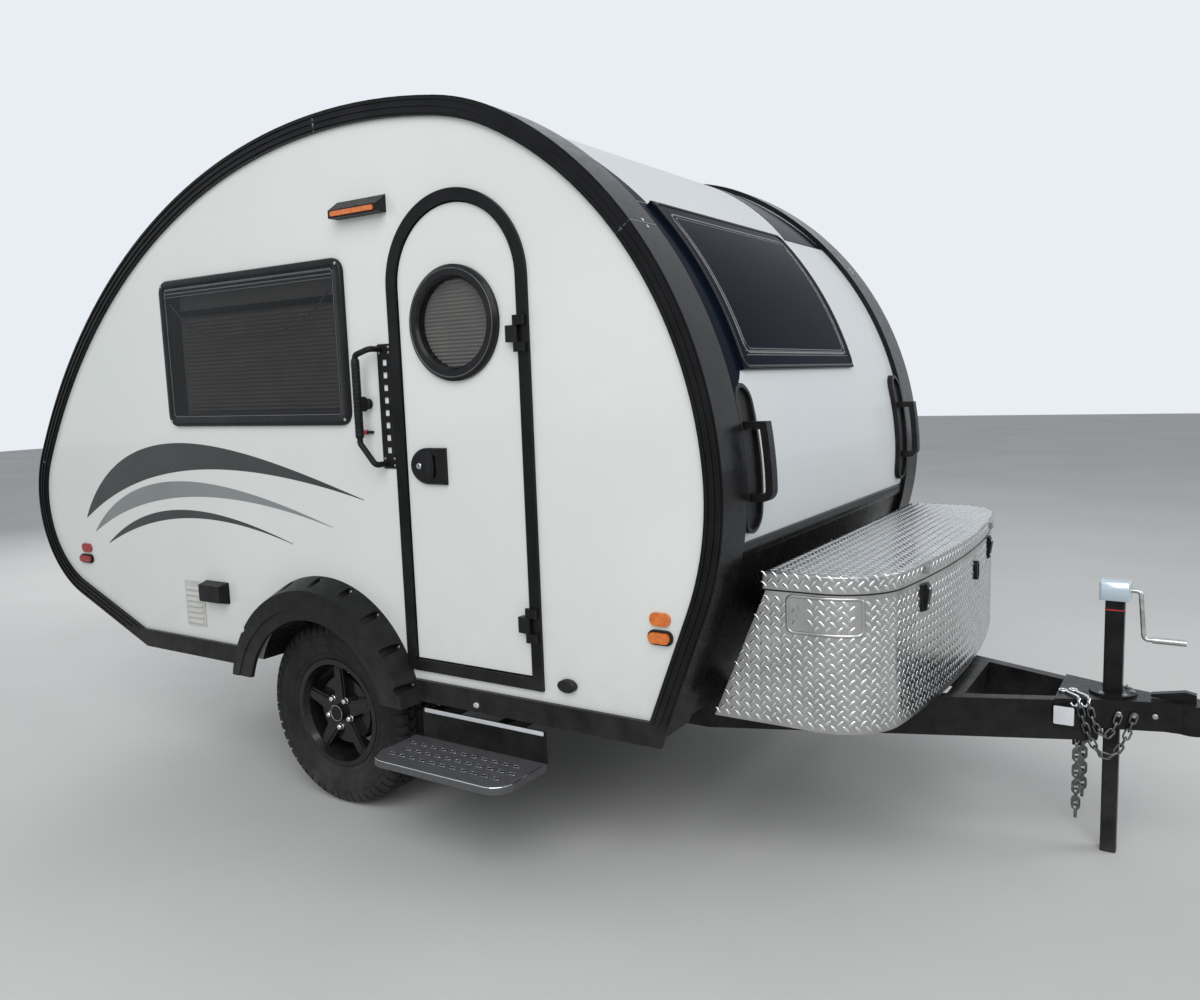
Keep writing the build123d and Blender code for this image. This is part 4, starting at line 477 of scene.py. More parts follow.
def lug_rows(node, walk, base, rows, is_free):
    """Staggered rows of lugs round a wall, wherever is_free allows them."""
    mesh = bmesh.new()
    for row in range(rows):
        level = base + row * lug_row
        for spot in walk[row % 2::2]:
            way = Vector((spot.x - tub_middle_x, spot.y, 0)).normalized()
            point, out = land_on(node, Vector((spot.x, spot.y, level)) + way * 0.2, -way)
            if point is not None and is_free(point, out, level):
                add_lug(mesh, point, out, Vector((-out.y, out.x, 1 if row % 2 else -1)))
    return mesh


def wall_is_free(point, out, level):
    """Whether the tub has no latch, pull or pressed outline here."""
    if abs(out.z) > 0.3 or out.x < -0.2 or abs(abs(point.y) - latch_y) < 0.042 and level > 0.812:
        return False
    if abs(point.y - pull_y) < 0.032 and abs(level - pull_z) < 0.046:
        return False
    if point.y < -0.722 and tub_press_x - 0.012 < point.x < -0.552 and 0.808 < level < 0.937:
        return tub_press_x + 0.06 < point.x < -0.585 and 0.832 < level < 0.914
    return True


def rim_is_free(point, out, level):
    """Whether the lid's rim has no latch here."""
    return abs(out.z) <= 0.2 and abs(abs(point.y) - latch_y) >= 0.036


def make_tub_plate():
    """Lugs over the tub's walls and its lid."""
    mesh = lug_rows("tub_body", tub_walk(0.56), 0.552, 25, wall_is_free)
    piece("tub_tread_plate", mesh, "lug_polish", smooth=70)
    mesh = lug_rows("tub_lid", tub_walk(0.7), 0.953, 3, rim_is_free)
    for row in range(27):
        for column in range(row % 2, 104, 2):
            start = Vector((-0.832 + row * lug_row, -0.7725 + column * lug_row, 1.2))
            point, out = land_on("tub_lid", start, (0, 0, -1))
            if point is not None and point.z >= lid_top:
                add_lug(mesh, point, out, Vector((1, 1 if row % 2 else -1, 0)))
    piece("lid_tread_plate", mesh, "lug_polish", body="storage_lid", smooth=70)


def pressing_at(travel, level):
    """Point at a distance along the tub's wall, and the way out there."""
    turn = max(0, travel - tub_flat) / tub_corner
    point = Vector((tub_press_x + min(travel, tub_flat) + tub_corner * sin(turn),
        tub_press_y + tub_corner * (1 - cos(turn)), level))
    way = Vector((sin(turn), -cos(turn), 0))
    return land_on("tub_body", point + way * 0.1, -way)


def make_tub_pressing():
    """Outline pressed into the tub's side and corner, with four short marks."""
    loop = finely(rounded(0, 0.209, 0.82, 0.925, 0.016, 5), 0.006)
    points, outs = zip(*[pressing_at(travel, level) for travel, level in loop])
    piece("tub_pressing", bead_loop(bmesh.new(), points, outs, 0.01, 0.003), "bright_plate", smooth=60)
    mesh = bmesh.new()
    for travel, level, lean in ((0.018, 0.884, 0.5), (0.029, 0.868, -0.6), (0.018, 0.85, 0.6), (0.033, 0.892, -0.4)):
        tube(mesh, [pressing_at(travel + lean * swing, level + swing)[0] + Vector((0, 0.0004, 0))
            for swing in (-0.006, 0.006)], 0.0016, 8)
    piece("pressing_marks", mesh, "worn_steel", smooth=60)


# Wheels: tyres with tread blocks stand for the frame's plain ones
wheel_x = -2.491
wheel_z = 0.35
wheel_y = 0.854
tyre_pitches = 54
tread_foot = 0.3385
tread_top = 0.3495
tread_shift = 0.009
tread_rows = ((-0.064, 0.03, 0, 0.34), (-0.028, 0.027, 0.5, -0.3), (0.008, 0.027, 0.15, 0.3),
    (0.0435, 0.027, 0.65, -0.3))
block_plan = ((-0.4, -0.5), (0, -0.62), (0.4, -0.5), (0.4, 0.5), (0, 0.38), (-0.4, 0.5))
half_tyre = ((0.091, 0.2065), (0.096, 0.2085), (0.0995, 0.214), (0.1015, 0.224), (0.1055, 0.24), (0.1085, 0.258),
    (0.1088, 0.272), (0.1072, 0.292), (0.1045, 0.308), (0.1, 0.322), (0.093, 0.332), (0.082, 0.3385), (0.06, 0.3405),
    (0.03, 0.341))
hub_face = 0.074
nut_circle = 0.05715


def on_wheel(side, turn, radius, across):
    """Point of a wheel at a turn from level."""
    return Vector((wheel_x + radius * cos(turn), side * (wheel_y + across), wheel_z + radius * sin(turn)))


def on_tyre(side, turn, across, radius):
    """Point of a tyre at a turn from its foot."""
    return on_wheel(side, turn - pi / 2, radius, across)


def make_tyre(side, word):
    """Carcass with thin ridges, tread blocks and side lugs."""
    mesh = bmesh.new()
    profile = [*half_tyre, (0, 0.3412), *[(-across, radius) for across, radius in half_tyre[::-1]], (-0.08, 0.2075),
        (0.08, 0.2075)]
    swept(mesh, [[on_tyre(side, turn, across, radius) for across, radius in profile] for turn in round_turns(96)],
        closed=True)
    for ridge_across, ridge_radius in ((0.1035, 0.229), (0.1085, 0.263), (0.107, 0.296)):
        swept(mesh, [[on_tyre(side, turn, ridge_across + u, ridge_radius + v)
            for u, v in ((-0.001, -0.0018), (0.0009, 0), (-0.001, 0.0018))] for turn in round_turns(72)], closed=True)
    pitch = 2 * pi / tyre_pitches
    for step in range(tyre_pitches):
        for middle, width, phase, slant in tread_rows:
            swept(mesh, [[on_tyre(side, (step + phase + share * u + slant * v) * pitch,
                middle + tread_shift + share * v * width, radius) for u, v in block_plan]
                for share, radius in ((1, tread_foot), (0.9, tread_top))], footed=False)
        long_lug, lug_end = (0.3, 0.302) if step % 2 else (0.38, 0.31)
        outline = ((0.072, 0.34), (0.0775, 0.349), (0.0905, 0.344), (0.101, 0.332), (0.1062, 0.316),
            (0.107, lug_end), (0.103, 0.304), (0.096, 0.322), (0.086, 0.333))
        for flank, phase in ((1, 0.25), (-1, 0.75)):
            swept(mesh, [[on_tyre(side, (step + phase + share * (1 + 0.12 * place / 8)) * pitch, flank * across,
                radius) for place, (across, radius) in enumerate(outline)] for share in (-long_lug, long_lug)])
    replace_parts(piece("treaded_tyre_" + word, mesh, "tyre_rubber", body="wheel_" + word, smooth=38), "tyre_" + word)


def make_wheel_fittings(side, word):
    """Bright wheel nuts, a centre cap with its ring, a valve and a balance weight."""
    axle, body = (0, side, 0), "wheel_" + word
    mesh = bmesh.new()
    for place in range(5):
        turn = radians(54 + 72 * place)
        centre = on_wheel(side, turn, nut_circle, hub_face)
        lathe(mesh, centre, axle, ((0.0128, 0), (0.0128, 0.0035), (0.0118, 0.0055)), 24)
        lathe(mesh, centre, axle, ((0.0113, 0.004), (0.0113, 0.0145), (0.0104, 0.017), (0.008, 0.019), (0.004, 0.02),
            (0.0008, 0.0202)), 6, start=turn)
    piece("wheel_nuts_" + word, mesh, "chrome", body=body, bevel=0.0004, smooth=30)
    cap_face = hub_face + 0.022
    turned_piece("centre_cap_" + word, on_wheel(side, 0, 0, cap_face), axle,
        ((0.0318, -0.004), (0.0328, -0.001), (0.0326, 0.0012), (0.03, 0.002), (0.027, 0.0012), (0.0268, 0.0004),
        (0.0008, 0.0004)), 48, "black_gloss", body=body)
    mesh = tube(bmesh.new(), [on_wheel(side, turn, 0.0292, cap_face + 0.0018) for turn in round_turns(60)], 0.0008,
        8, closed=True)
    piece("cap_ring_" + word, mesh, "chrome", body=body)
    turn = radians(18)
    lean = Vector((-0.35 * cos(turn), side * 0.94, -0.35 * sin(turn)))
    turned_piece("valve_" + word, on_wheel(side, turn, 0.163, 0.047), lean,
        ((0.006, 0), (0.006, 0.006), (0.0036, 0.01), (0.0034, 0.026), (0.0046, 0.027), (0.0046, 0.036),
        (0.0036, 0.038), (0.0008, 0.0385)), 16, "seal_rubber", body=body)
    clip = ((0.196, 0.0915), (0.196, 0.0965), (0.189, 0.0965), (0.1865, 0.09), (0.1865, 0.07), (0.1905, 0.07),
        (0.1905, 0.09))
    mesh = swept(bmesh.new(), [[on_wheel(side, radians(turn), radius, across) for radius, across in clip]
        for turn in shared(163, 184, 8)])
    piece("rim_weight_" + word, mesh, "zinc", body=body, bevel=0.0006)


def make_flare_bolts():
    """Screws in the flares' pockets."""
    mesh = bmesh.new()
    head = ((0.0062, 0), (0.006, 0.0016), (0.0045, 0.0028), (0.0026, 0.0031), (0.0024, 0.002), (0.0006, 0.0019))
    turns = [radians(angle) for angle in (15, 33, 51, 70, 90, 110, 129, 147, 165)]
    for side, node in ((-1, "flare_right"), (1, "flare_left")):
        screws(mesh, node, [(wheel_x + 0.444 * cos(turn), side * 1.2, 0.415 + 0.444 * sin(turn)) for turn in turns],
            (0, -side, 0), head, 20)
    piece("flare_bolts", mesh, "zinc")


# Strips and patches that follow the moulded skin
glass_stand = skin_stand + 0.0136
sheet = 0.0016


def skin_patch(name, rows):
    """Thin dark sheet from rows of (heading, lowest y, highest y)."""
    mesh = swept(bmesh.new(), [[on_outline(heading, skin_stand, y) for y in shared(low_y, high_y, 10)]
        + [on_outline(heading, skin_stand + sheet, y) for y in shared(high_y, low_y, 10)]
        for heading, low_y, high_y in rows])
    piece(name, mesh, "navy_gloss", smooth=40)


def eased(value, first, last, low, high, power):
    """Value between low and high, by a power of the way from first to last."""
    return low + (high - low) * min(1, (value - first) / (last - first)) ** power


def make_front_skin():
    """Dark darts on the roof, dark cheek beside the window, band under the panel."""
    seam = start_of("shoulder")
    tip = seam + 31
    skin_patch("roof_dart_left", [(heading, eased(heading, seam, tip, 0.4, 0.64, 0.85),
        eased(heading, seam, tip, 0.822, 0.65, 1.25)) for heading in shared(seam + 0.15, tip, 28)])
    tip += 4
    skin_patch("roof_dart_right", [(heading, -skin_edge_y, eased(heading, seam, tip, -0.705, -0.822, 1.15))
        for heading in shared(seam + 0.15, tip, 28)])
    low = start_of("brow") + 8.5
    skin_patch("window_cheek", [(heading, -skin_edge_y, eased(heading, low, low + 4, -skin_edge_y, -0.7025, 0.6))
        for heading in shared(low, seam - 0.1, 30)])
    first, last = start_of("chin_high") - 0.4, start_of("chin_high") + 2.3
    section = ((0, 0), (0, 0.006), (0.12, 0.009), (0.5, 0.0105), (0.88, 0.009), (1, 0.006), (1, 0))
    mesh = swept(bmesh.new(), [[on_outline(first + (last - first) * u, skin_stand + v, y) for u, v in section]
        for y in shared(-skin_edge_y, skin_edge_y, 40)])
    piece("front_band", mesh, "black_trim", smooth=50)


def on_glass(point):
    """The point put back on the curved skin."""
    start, centre, radius = arcs["front_glass"]
    out = Vector((point.x - centre.x, 0, point.z - centre.z)).normalized()
    return centre + out * (radius + glass_stand) + Vector((0, point.y, 0))


def front_loop(low_heading, high_heading, low_y, high_y):
    """Rounded rectangle on the front window, with the way out at each point."""
    run = radians(high_heading - low_heading) * front_arc
    corners = []
    for u, y in rounded(0, run, low_y, high_y, 0.028, 8):
        heading = low_heading + degrees(u / front_arc)
        corners.append((on_outline(heading, glass_stand, y), outward(heading)))
    dense, ways = [], []
    for (before, way), (point, out) in zip(corners[-1:] + corners, corners):
        cuts = max(1, int((point - before).length / 0.05))
        for cut in range(cuts):
            dense.append(on_glass(before.lerp(point, cut / cuts)))
            ways.append(way.lerp(out, cut / cuts).normalized())
    return dense, ways


def make_front_window_trim():
    """Frame edge, inner seal, shade line and rails of the front window."""
    glass = start_of("front_glass")
    low, high = glass - 1.5, start_of("front_header") + 1.5
    for label, inset, inset_y, width, height, finish in (("edge", 0.25, 0.008, 0.01, 0.0045, "black_gloss"),
            ("seal", 2.2, 0.05, 0.007, 0.0032, "seal_shine"), ("line", 2.75, 0.064, 0.0035, 0.0024, "seal_shine")):
        points, outs = front_loop(low + inset, high - inset, -0.7 + inset_y, 0.3 - inset_y)
        piece("front_window_" + label, bead_loop(bmesh.new(), points, outs, width, height), finish, smooth=50)
    mesh = bmesh.new()
    section = ((-0.1, 0), (-0.07, 0.0022), (0, 0.003), (0.07, 0.0022), (0.1, 0))
    for heading in (glass + 0.35, glass + 0.95):
        swept(mesh, [[on_outline(heading + u, glass_stand + v, y) for u, v in section]
            for y in shared(-0.655, 0.255, 24)])
    piece("front_window_rails", mesh, "seal_shine", smooth=50)


def rear_bead(name, node, low, high, radius, half, corner, width, height, finish, body="chassis"):
    """Raised bead on a curved piece of the back, between two headings."""
    span = radians(high - low) * radius
    points, outs = [], []
    for u, y in finely(rounded(0, span, -half, half, corner, 5), 0.03):
        outs.append(outward(low + (high - low) * u / span))
        points.append(land_on(node, on_outline(low + (high - low) * u / span, 0.2, y), -outs[-1])[0])
    piece(name, bead_loop(bmesh.new(), points, outs, width, height), finish, body=body, smooth=50)


def make_rear_trim():
    """Frame and seal of the rear window, and the seal, pull and lock of the tail door."""
    glass, hatch = start_of("rear_glass"), start_of("tail_hatch")
    rear_bead("rear_window_edge", "rear_window", glass - 0.55, glass + 17.85, roof_arc, 0.51, 0.03, 0.012, 0.0045,
        "black_gloss")
    rear_bead("rear_window_seal", "rear_window", glass + 0.7, glass + 16.6, roof_arc, 0.478, 0.028, 0.006, 0.003,
        "seal_shine")
    rear_bead("tail_door_seal", "rear_hatch", hatch + 4, hatch + 71.5, 0.4, 0.404, 0.03, 0.008, 0.0026,
        "seal_rubber", body="tail_door")
    grip = hatch + 60
    (point, out), (lock, lock_out) = [land_on("rear_hatch", on_outline(grip, 0.2, y), -outward(grip))
        for y in (0, 0.085)]
    levels = ((0, 1), (0.005, 1), (0.0085, 0.9), (0.0085, 0.72), (0.003, 0.62))
    mesh = swept(bmesh.new(), [[point + out * (rise - 0.001) + Vector((0, u * share, 0)) + ahead(grip) * (v * share)
        for u, v in rounded(-0.056, 0.056, -0.02, 0.02, 0.012, 5)] for rise, share in levels])
    piece("tail_door_pull", mesh, "black_plastic", body="tail_door", smooth=45)
    turned_piece("tail_door_lock", lock - lock_out * 0.0008, lock_out,
        ((0.013, 0), (0.013, 0.003), (0.0112, 0.0046), (0.0075, 0.0046), (0.007, 0.0034), (0.0006, 0.0034)), 28,
        "chrome", body="tail_door")


# Side windows, built up in place of the frame's plain panes
sash_rear, sash_front = -3.317, -2.28
sash_foot, sash_top = 1.426, 1.999


def window_loop(inset, corner):
    """Outline of the side window, inset, as (x, z) pairs."""
    return rounded(sash_rear + inset, sash_front - inset, sash_foot + inset, sash_top - inset, corner)


def window_ring(side, insets):
    """Frame with a section of (inset, distance off the wall) pairs."""
    return ringed(bmesh.new(), [upright(window_loop(inset, max(0.012, 0.049 - inset)), side * (wall_y + out))
        for inset, out in insets])


def make_side_window(side, word):
    """One side window with its rails, corner caps, blind, cassette and stay line."""
    mesh = window_ring(side, ((0, 0), (0, 0.0105), (0.0015, 0.014), (0.005, 0.0172), (0.011, 0.018), (0.03, 0.0172),
        (0.034, 0.015), (0.038, 0.0125), (0.046, 0.012), (0.046, -0.0285), (0.032, -0.0285), (0.032, 0)))
    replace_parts(piece("side_window_frame_" + word, mesh, "black_gloss", smooth=50), "window_" + word)
    plate_piece("side_window_pane_" + word, window_loop(0.03, 0.02), side * (wall_y + 0.0145), -side * 0.004,
        "smoked_pane")
    mesh = window_ring(side, ((0.0375, 0.0144), (0.038, 0.0158), (0.04, 0.016), (0.0412, 0.0144)))
    piece("side_window_seal_" + word, mesh, "seal_shine", smooth=60)
    mesh = bmesh.new()
    section = ((-1, 0), (-0.7, 0.0018), (0, 0.0026), (0.7, 0.0018), (1, 0))
    for level, height in ((1.963, 0.0034), (1.946, 0.0028), (1.933, 0.002)):
        swept(mesh, [[Vector((x, side * (wall_y + 0.0142 + out), level + up * height)) for up, out in section]
            for x in shared(sash_rear + 0.044, sash_front - 0.044, 12)])
    piece("side_window_rails_" + word, mesh, "seal_shine", smooth=60)
    mesh = bmesh.new()
    for x in (sash_rear + 0.021, sash_front - 0.021):
        for z in (sash_foot + 0.021, sash_top - 0.021):
            lathe(mesh, (x, side * (wall_y + 0.0174), z), (0, side, 0),
                ((0.0058, -0.001), (0.0054, 0.0012), (0.0036, 0.0021), (0.0006, 0.0023)), 18)
    piece("side_window_caps_" + word, mesh, "zinc")
    folds = list(enumerate(shared(sash_foot + 0.062, sash_top - 0.15, 48)))
    mesh = swept(bmesh.new(), [[Vector((x, side * (wall_y - (0.022 if place % 2 else 0.013)), z))
        for place, z in folds] + [Vector((x, side * (wall_y - 0.026), z)) for place, z in folds[::-1]]
        for x in (sash_rear + 0.105, sash_front - 0.08)])
    piece("side_window_pleats_" + word, mesh, "blind", smooth=10)
    mesh = bmesh.new()
    rear_x, front_x = sash_rear + 0.06, sash_front - 0.055
    low, high = sash_foot + 0.05, sash_top - 0.05
    for x in (rear_x, front_x):
        plate(mesh, ((x - 0.01, low), (x + 0.01, low), (x + 0.01, high), (x - 0.01, high)), side * (wall_y - 0.018),
            -side * 0.008)
    low, high = sash_top - 0.142, sash_top - 0.12
    plate(mesh, ((rear_x, low), (front_x, low), (front_x, high), (rear_x, high)), side * (wall_y - 0.014),
        -side * 0.012)
    piece("side_window_cassette_" + word, mesh, "black_plastic", bevel=0.0015)
    middle = (sash_rear + sash_front) / 2
    path = upright([(x, sash_top - 0.085 - 0.155 * (1 - (abs(x - middle) / 0.47) ** 3))
        for x in shared(sash_rear + 0.055, sash_front - 0.055, 40)], side * (wall_y + 0.006))
    piece("side_window_stay_" + word, tube(bmesh.new(), path, 0.0032, 8), "pale_line", smooth=60)


# Door
porthole_x, porthole_z = -1.795, 1.747
latch_x, latch_z = -1.968, 1.291


def make_door_trim():
    """Porthole rings and shade, hinge sleeves, and the latch's lock and paddle."""
    mesh = bmesh.new()
    for y, radius, width, height in ((-0.97, 0.1485, 0.012, 0.006), (-0.992, 0.169, 0.004, 0.0016)):
        points = ring_of((porthole_x, y, porthole_z), Vector((1, 0, 0)), upward, radius, 96)
        bead_loop(mesh, points, [rightward] * len(points), width, height)
    piece("porthole_seal", mesh, "seal_shine", body="door", smooth=60)
    sections = []
    for place, z in enumerate(shared(-0.146, 0.146, 48)):
        reach, front = sqrt(0.15 ** 2 - z ** 2), -0.952 if place % 2 else -0.958
        sections.append([Vector((porthole_x + u * reach, y, porthole_z + z))
            for u, y in ((-1, -0.948), (1, -0.948), (1, front), (-1, front))])
    piece("porthole_shade", swept(bmesh.new(), sections), "blind", body="door", smooth=10)
    cover = [(-1.5747, -0.97), (-1.5747, -0.9967)]
    cover += [(-1.54 + 0.0086 * sin(turn), -0.992 - 0.0086 * cos(turn)) for turn in shared(0, pi, 12)]
    cover += [(-1.5454, -0.9834), (-1.5454, -0.97)]
    mesh = bmesh.new()
    for level in (0.8, 1.7):
        swept(mesh, [[Vector((x, y, level + rise)) for x, y in cover] for rise in (-0.0252, 0.0252)])
    piece("hinge_sleeves", mesh, "black_plastic", body="door", smooth=40)
    turned_piece("latch_lock", (latch_x, -0.9845, latch_z), rightward,
        ((0.0105, 0), (0.0105, 0.003), (0.0092, 0.0042), (0.006, 0.0042), (0.0056, 0.003), (0.0006, 0.003)), 28,
        "chrome", body="door")
    slot = [(latch_x + 0.001 * u, latch_z + 0.0036 * v) for u, v in ((-1, -1), (1, -1), (1, 1), (-1, 1))]
    plate_piece("latch_key_slot", slot, -0.9876, 0.0012, "seal_rubber", body="door")
    loop = [(-1.92 + 0.018 * u, latch_z + 0.05 * v) for u, v in ((-0.7, -1), (0.3, -1), (0.8, -0.7), (1, 0),
        (0.8, 0.7), (0.3, 1), (-0.7, 1), (-0.9, 0))]
    plate_piece("latch_paddle", loop, -0.984, -0.0045, "black_plastic", body="door", bevel=0.0016)


# Fittings of the right wall
def make_grab_fittings():
    """Bolts on the grab plate, a ribbed sleeve, a round knob and a red tab."""
    mesh = bmesh.new()
    for x in (-2.131, -2.088):
        for z in (1.29, 1.313, 1.668, 1.686):
            lathe(mesh, (x, -0.9735, z), rightward, ((0.0042, 0), (0.004, 0.0016), (0.0026, 0.0024),
                (0.0006, 0.0025)), 16)
    piece("grab_bolts", mesh, "zinc")
    ribs = [(0.0112, 0), (0.014, 0.003)]
    for place in range(18):
        ribs += [(0.0145, 0.006 + place * 0.014), (0.0145, 0.016 + place * 0.014), (0.0137, 0.018 + place * 0.014)]
    ribs += [(0.014, 0.262), (0.0112, 0.266)]
    turned_piece("bar_grip_sleeve", (-2.193, -1.025, 1.385), upward, ribs, 24, "black_plastic", smooth=50)
    turned_piece("bar_knob", (-2.196, -wall_y, 1.499), rightward,
        ((0.018, 0), (0.018, 0.004), (0.013, 0.007), (0.013, 0.018), (0.024, 0.022), (0.026, 0.026), (0.024, 0.03),
        (0.0008, 0.031)), 36, "black_plastic", smooth=40)
    plate_piece("bar_tab", rounded(-2.232, -2.206, 1.394, 1.41, 0.005, 4), -wall_y, -0.012, "red", bevel=0.0015)
    plate_piece("bar_tab_stem", rounded(-2.206, -2.18, 1.397, 1.407, 0.003, 4), -wall_y, -0.009, "black_plastic",
        bevel=0.0012)


def make_step_trim():
    """Lips of the step's slots, flanged collars under them painted black as painted shade in the holes, its rolled
    edge, a strip and a stud.
    """
    lips, shade_collars = bmesh.new(), bmesh.new()
    wall = ((0.0068, 0.338), (0.0068, 0.3235), (0.0057, 0.3235), (0.0057, 0.342), (0.0062, 0.342), (0.0062, 0.338))
    for row in range(3):
        for column in range(11):
            x = -1.7955 + 0.022 * (row % 2) - 0.011 + (column - 5) * 0.044
            y = -1.024 - row * 0.052
            points = [Vector((x + u, y + v, 0.343)) for u, v in slot_loop(0.007, 0.0072, 18)]
            bead_loop(lips, points, [upward] * len(points), 0.0034, 0.0017)
            # Collars: real flanges under the slots, black as painted shade so the holes look dark
            ringed(shade_collars, [[Vector((x + u, y + v, level)) for u, v in slot_loop(0.007, radius, 18)]
                for radius, level in wall])
    piece("step_slot_lips", lips, "worn_steel", smooth=60)
    piece("step_slot_shade_collars", shade_collars, "seal_rubber", smooth=60)
    edge = [(-2.0765, y) for y in shared(-0.99, -1.125, 5)]
    for x, first in ((-2.0065, pi), (-1.5845, 1.5 * pi)):
        edge += [(x + 0.07 * cos(turn), -1.1275 + 0.07 * sin(turn)) for turn in shared(first, first + pi / 2, 10)]
    edge += [(-1.5145, y) for y in shared(-1.125, -0.99, 5)]
    piece("step_edge_roll", tube(bmesh.new(), [Vector((*spot, 0.3425)) for spot in edge], 0.0024), "lug_polish")
    plate_piece("step_back_strip", rounded(-2.028, -1.52, 0.434, 0.4485, 0.004, 3), -0.9622, -0.0022, "white_plate",
        bevel=0.0006)
    stud = land_on("edge_trim_right", (-1.772, -1.2, 0.503), (0, 1, 0))[0]
    turned_piece("skirt_stud", stud, rightward, ((0.0125, 0), (0.0125, 0.003), (0.0105, 0.006), (0.007, 0.0072),
        (0.0006, 0.0074)), 28, "chrome")


def make_trim_joints():
    """Seams and screw heads where the lengths of edge trim meet."""
    seams, bolts = bmesh.new(), bmesh.new()
    section = ((trim_inner_y + 0.004, trim_stand), (trim_y - 0.005, trim_stand), (trim_y, trim_stand - 0.006),
        (trim_y, 0))
    half_seam = degrees(0.0016 / 1.3)
    for heading in (start_of("front_glass") + 19, start_of("roof") + 13, start_of("tail_top") + 3):
        for side in (-1, 1):
            swept(seams, [[on_outline(heading + turn, stand - 0.001, side * (y - 0.001)) for y, stand in section]
                + [on_outline(heading + turn, stand + 0.0007, side * (y + 0.0007)) for y, stand in section[::-1]]
                for turn in (-half_seam, half_seam)])
            for turn in (-0.55, 0.55):
                lathe(bolts, on_outline(heading + turn, trim_stand - 0.001, side * 0.9), outward(heading + turn),
                    ((0.0062, 0), (0.006, 0.002), (0.0042, 0.0034), (0.0024, 0.0037), (0.0008, 0.003)), 18)
            lathe(bolts, on_outline(heading, 0.028, side * (trim_y - 0.0008)), (0, side, 0),
                ((0.0052, 0), (0.005, 0.0018), (0.0034, 0.0028), (0.0008, 0.003)), 18)
    piece("trim_seams", seams, "seal_shine")
    piece("trim_bolts", bolts, "zinc")


# Jack, hitch and tongue
def jack_ring(half, level, corner):
    """Rounded square round the jack's tube at a level."""
    return [Vector((x, y, level)) for x, y in rounded(-half, half, -half, half, corner, 5)]


def make_jack_fittings():
    """Cap and red ring of the jack, a blank label plate, bolts and latch screws."""
    mesh = swept(bmesh.new(), [jack_ring(*level) for level in ((0.0418, 0.8222, 0.0075), (0.043, 0.8236, 0.008),
        (0.043, 0.878, 0.008), (0.0412, 0.88, 0.0075))])
    piece("jack_cap_shell", mesh, "jack_plate", smooth=45)
    mesh = ringed(bmesh.new(), [jack_ring(half, level, 0.0075) for half, level in ((0.0258, 0.788), (0.027, 0.788),
        (0.0276, 0.7886), (0.0276, 0.7922), (0.027, 0.7928), (0.0258, 0.7928))])
    piece("jack_red_ring", mesh, "red_paint", smooth=40)
    plate_piece("blank_plate", rounded(-0.15, -0.092, 0.442, 0.5, 0.004, 3), -0.1475, -0.0012, "white_plate",
        bevel=0.0003)
    mesh = screws(bmesh.new(), "jack_tube", [(x, y, 0.8) for x, y in ((0.055, 0), (-0.028, 0.052), (-0.028, -0.052),
        (0.036, 0.046), (0.036, -0.046))], (0, 0, -1), ((0.0085, 0), (0.0085, 0.0045), (0.007, 0.0055),
        (0.0038, 0.0055), (0.0036, 0.009), (0.0006, 0.0096)), 6)
    for side in (-1, 1):
        screws(mesh, "coupler", [(x, side * 0.4, z) for x, z in ((0.024, 0.477), (0.064, 0.475), (0.12, 0.475))],
            (0, -side, 0), ((0.009, 0), (0.009, 0.005), (0.0075, 0.006), (0.004, 0.006), (0.0038, 0.0085),
            (0.0006, 0.009)), 6)
    piece("hitch_bolts", mesh, "zinc", smooth=30)
    mesh = screws(bmesh.new(), "tub_latches", [(0.2, y, z) for y in (-latch_y, latch_y) for z in (0.852, 0.905)],
        (-1, 0, 0), ((0.005, 0), (0.0048, 0.0012), (0.003, 0.002), (0.0006, 0.0021)), 18)
    piece("latch_screws", mesh, "chrome", smooth=60)


def beside_coupler(x, stand):
    """The y of the tongue's right side at this x, less a distance."""
    nodes = ("coupler", "frame_rail_right")
    points = [land_on(node, (x, -0.6, 0.475), -rightward)[0] for node in nodes]
    return (points[0] or points[1]).y - stand


chain_pitch = 0.0262
hook_z = 0.52
hook_path = ((-0.03, 0.036, 0.0055), (-0.014, 0.02, 0.006), (-0.002, 0.006, 0.006), (0.004, -0.008, 0.003),
    (0.003, -0.016, -0.008), (-0.004, -0.017, -0.018), (-0.013, -0.014, -0.02), (-0.019, -0.01, -0.013))


def make_tongue_chain():
    """Two swags of chain beside the tongue, and their bright hooks."""
    mesh = bmesh.new()
    for low_x, high_x, low_z, high_z, sag in ((-0.085, 0.068, 0.522, 0.482, 0.16),
            (-0.058, 0.028, 0.52, 0.484, 0.095)):
        path = []
        for t in shared(0, 1, 300):
            x = low_x + (high_x - low_x) * t
            path.append(Vector((x, beside_coupler(x, 0.0125), low_z + (high_z - low_z) * t - 4 * sag * t * (1 - t))))
        spots = paced(path, chain_pitch)
        for place, (here, there) in enumerate(zip(spots, spots[1:])):
            along = (there - here).normalized()
            flat = (rightward - along * rightward.dot(along)).normalized()
            across = along.cross(flat) if place % 2 else flat
            tube(mesh, [(here + there) / 2 + along * u + across * v for u, v in slot_loop(0.008, 0.009, 14)], 0.0031,
                8, closed=True)
    piece("tongue_chain_loops", mesh, "dark_zinc", smooth=60)
    mesh = bmesh.new()
    for hook_x, lean in ((-0.085, 0), (-0.058, 0.006)):
        edge = beside_coupler(hook_x, 0)
        path = [Vector((hook_x + x, edge + y, hook_z + z)) for x, y, z in ((-0.044, 0.05 + lean, 0.005), *hook_path)]
        tube(mesh, path, 0.0043)
        tube(mesh, ring_of(path[0] + Vector((-0.006, 0.007, 0)), Vector((0.66, -0.75, 0)), Vector((0.75, 0.66, 0)),
            0.011, 20), 0.0032, 8, closed=True)
    piece("tongue_hooks", mesh, "chrome", smooth=60)


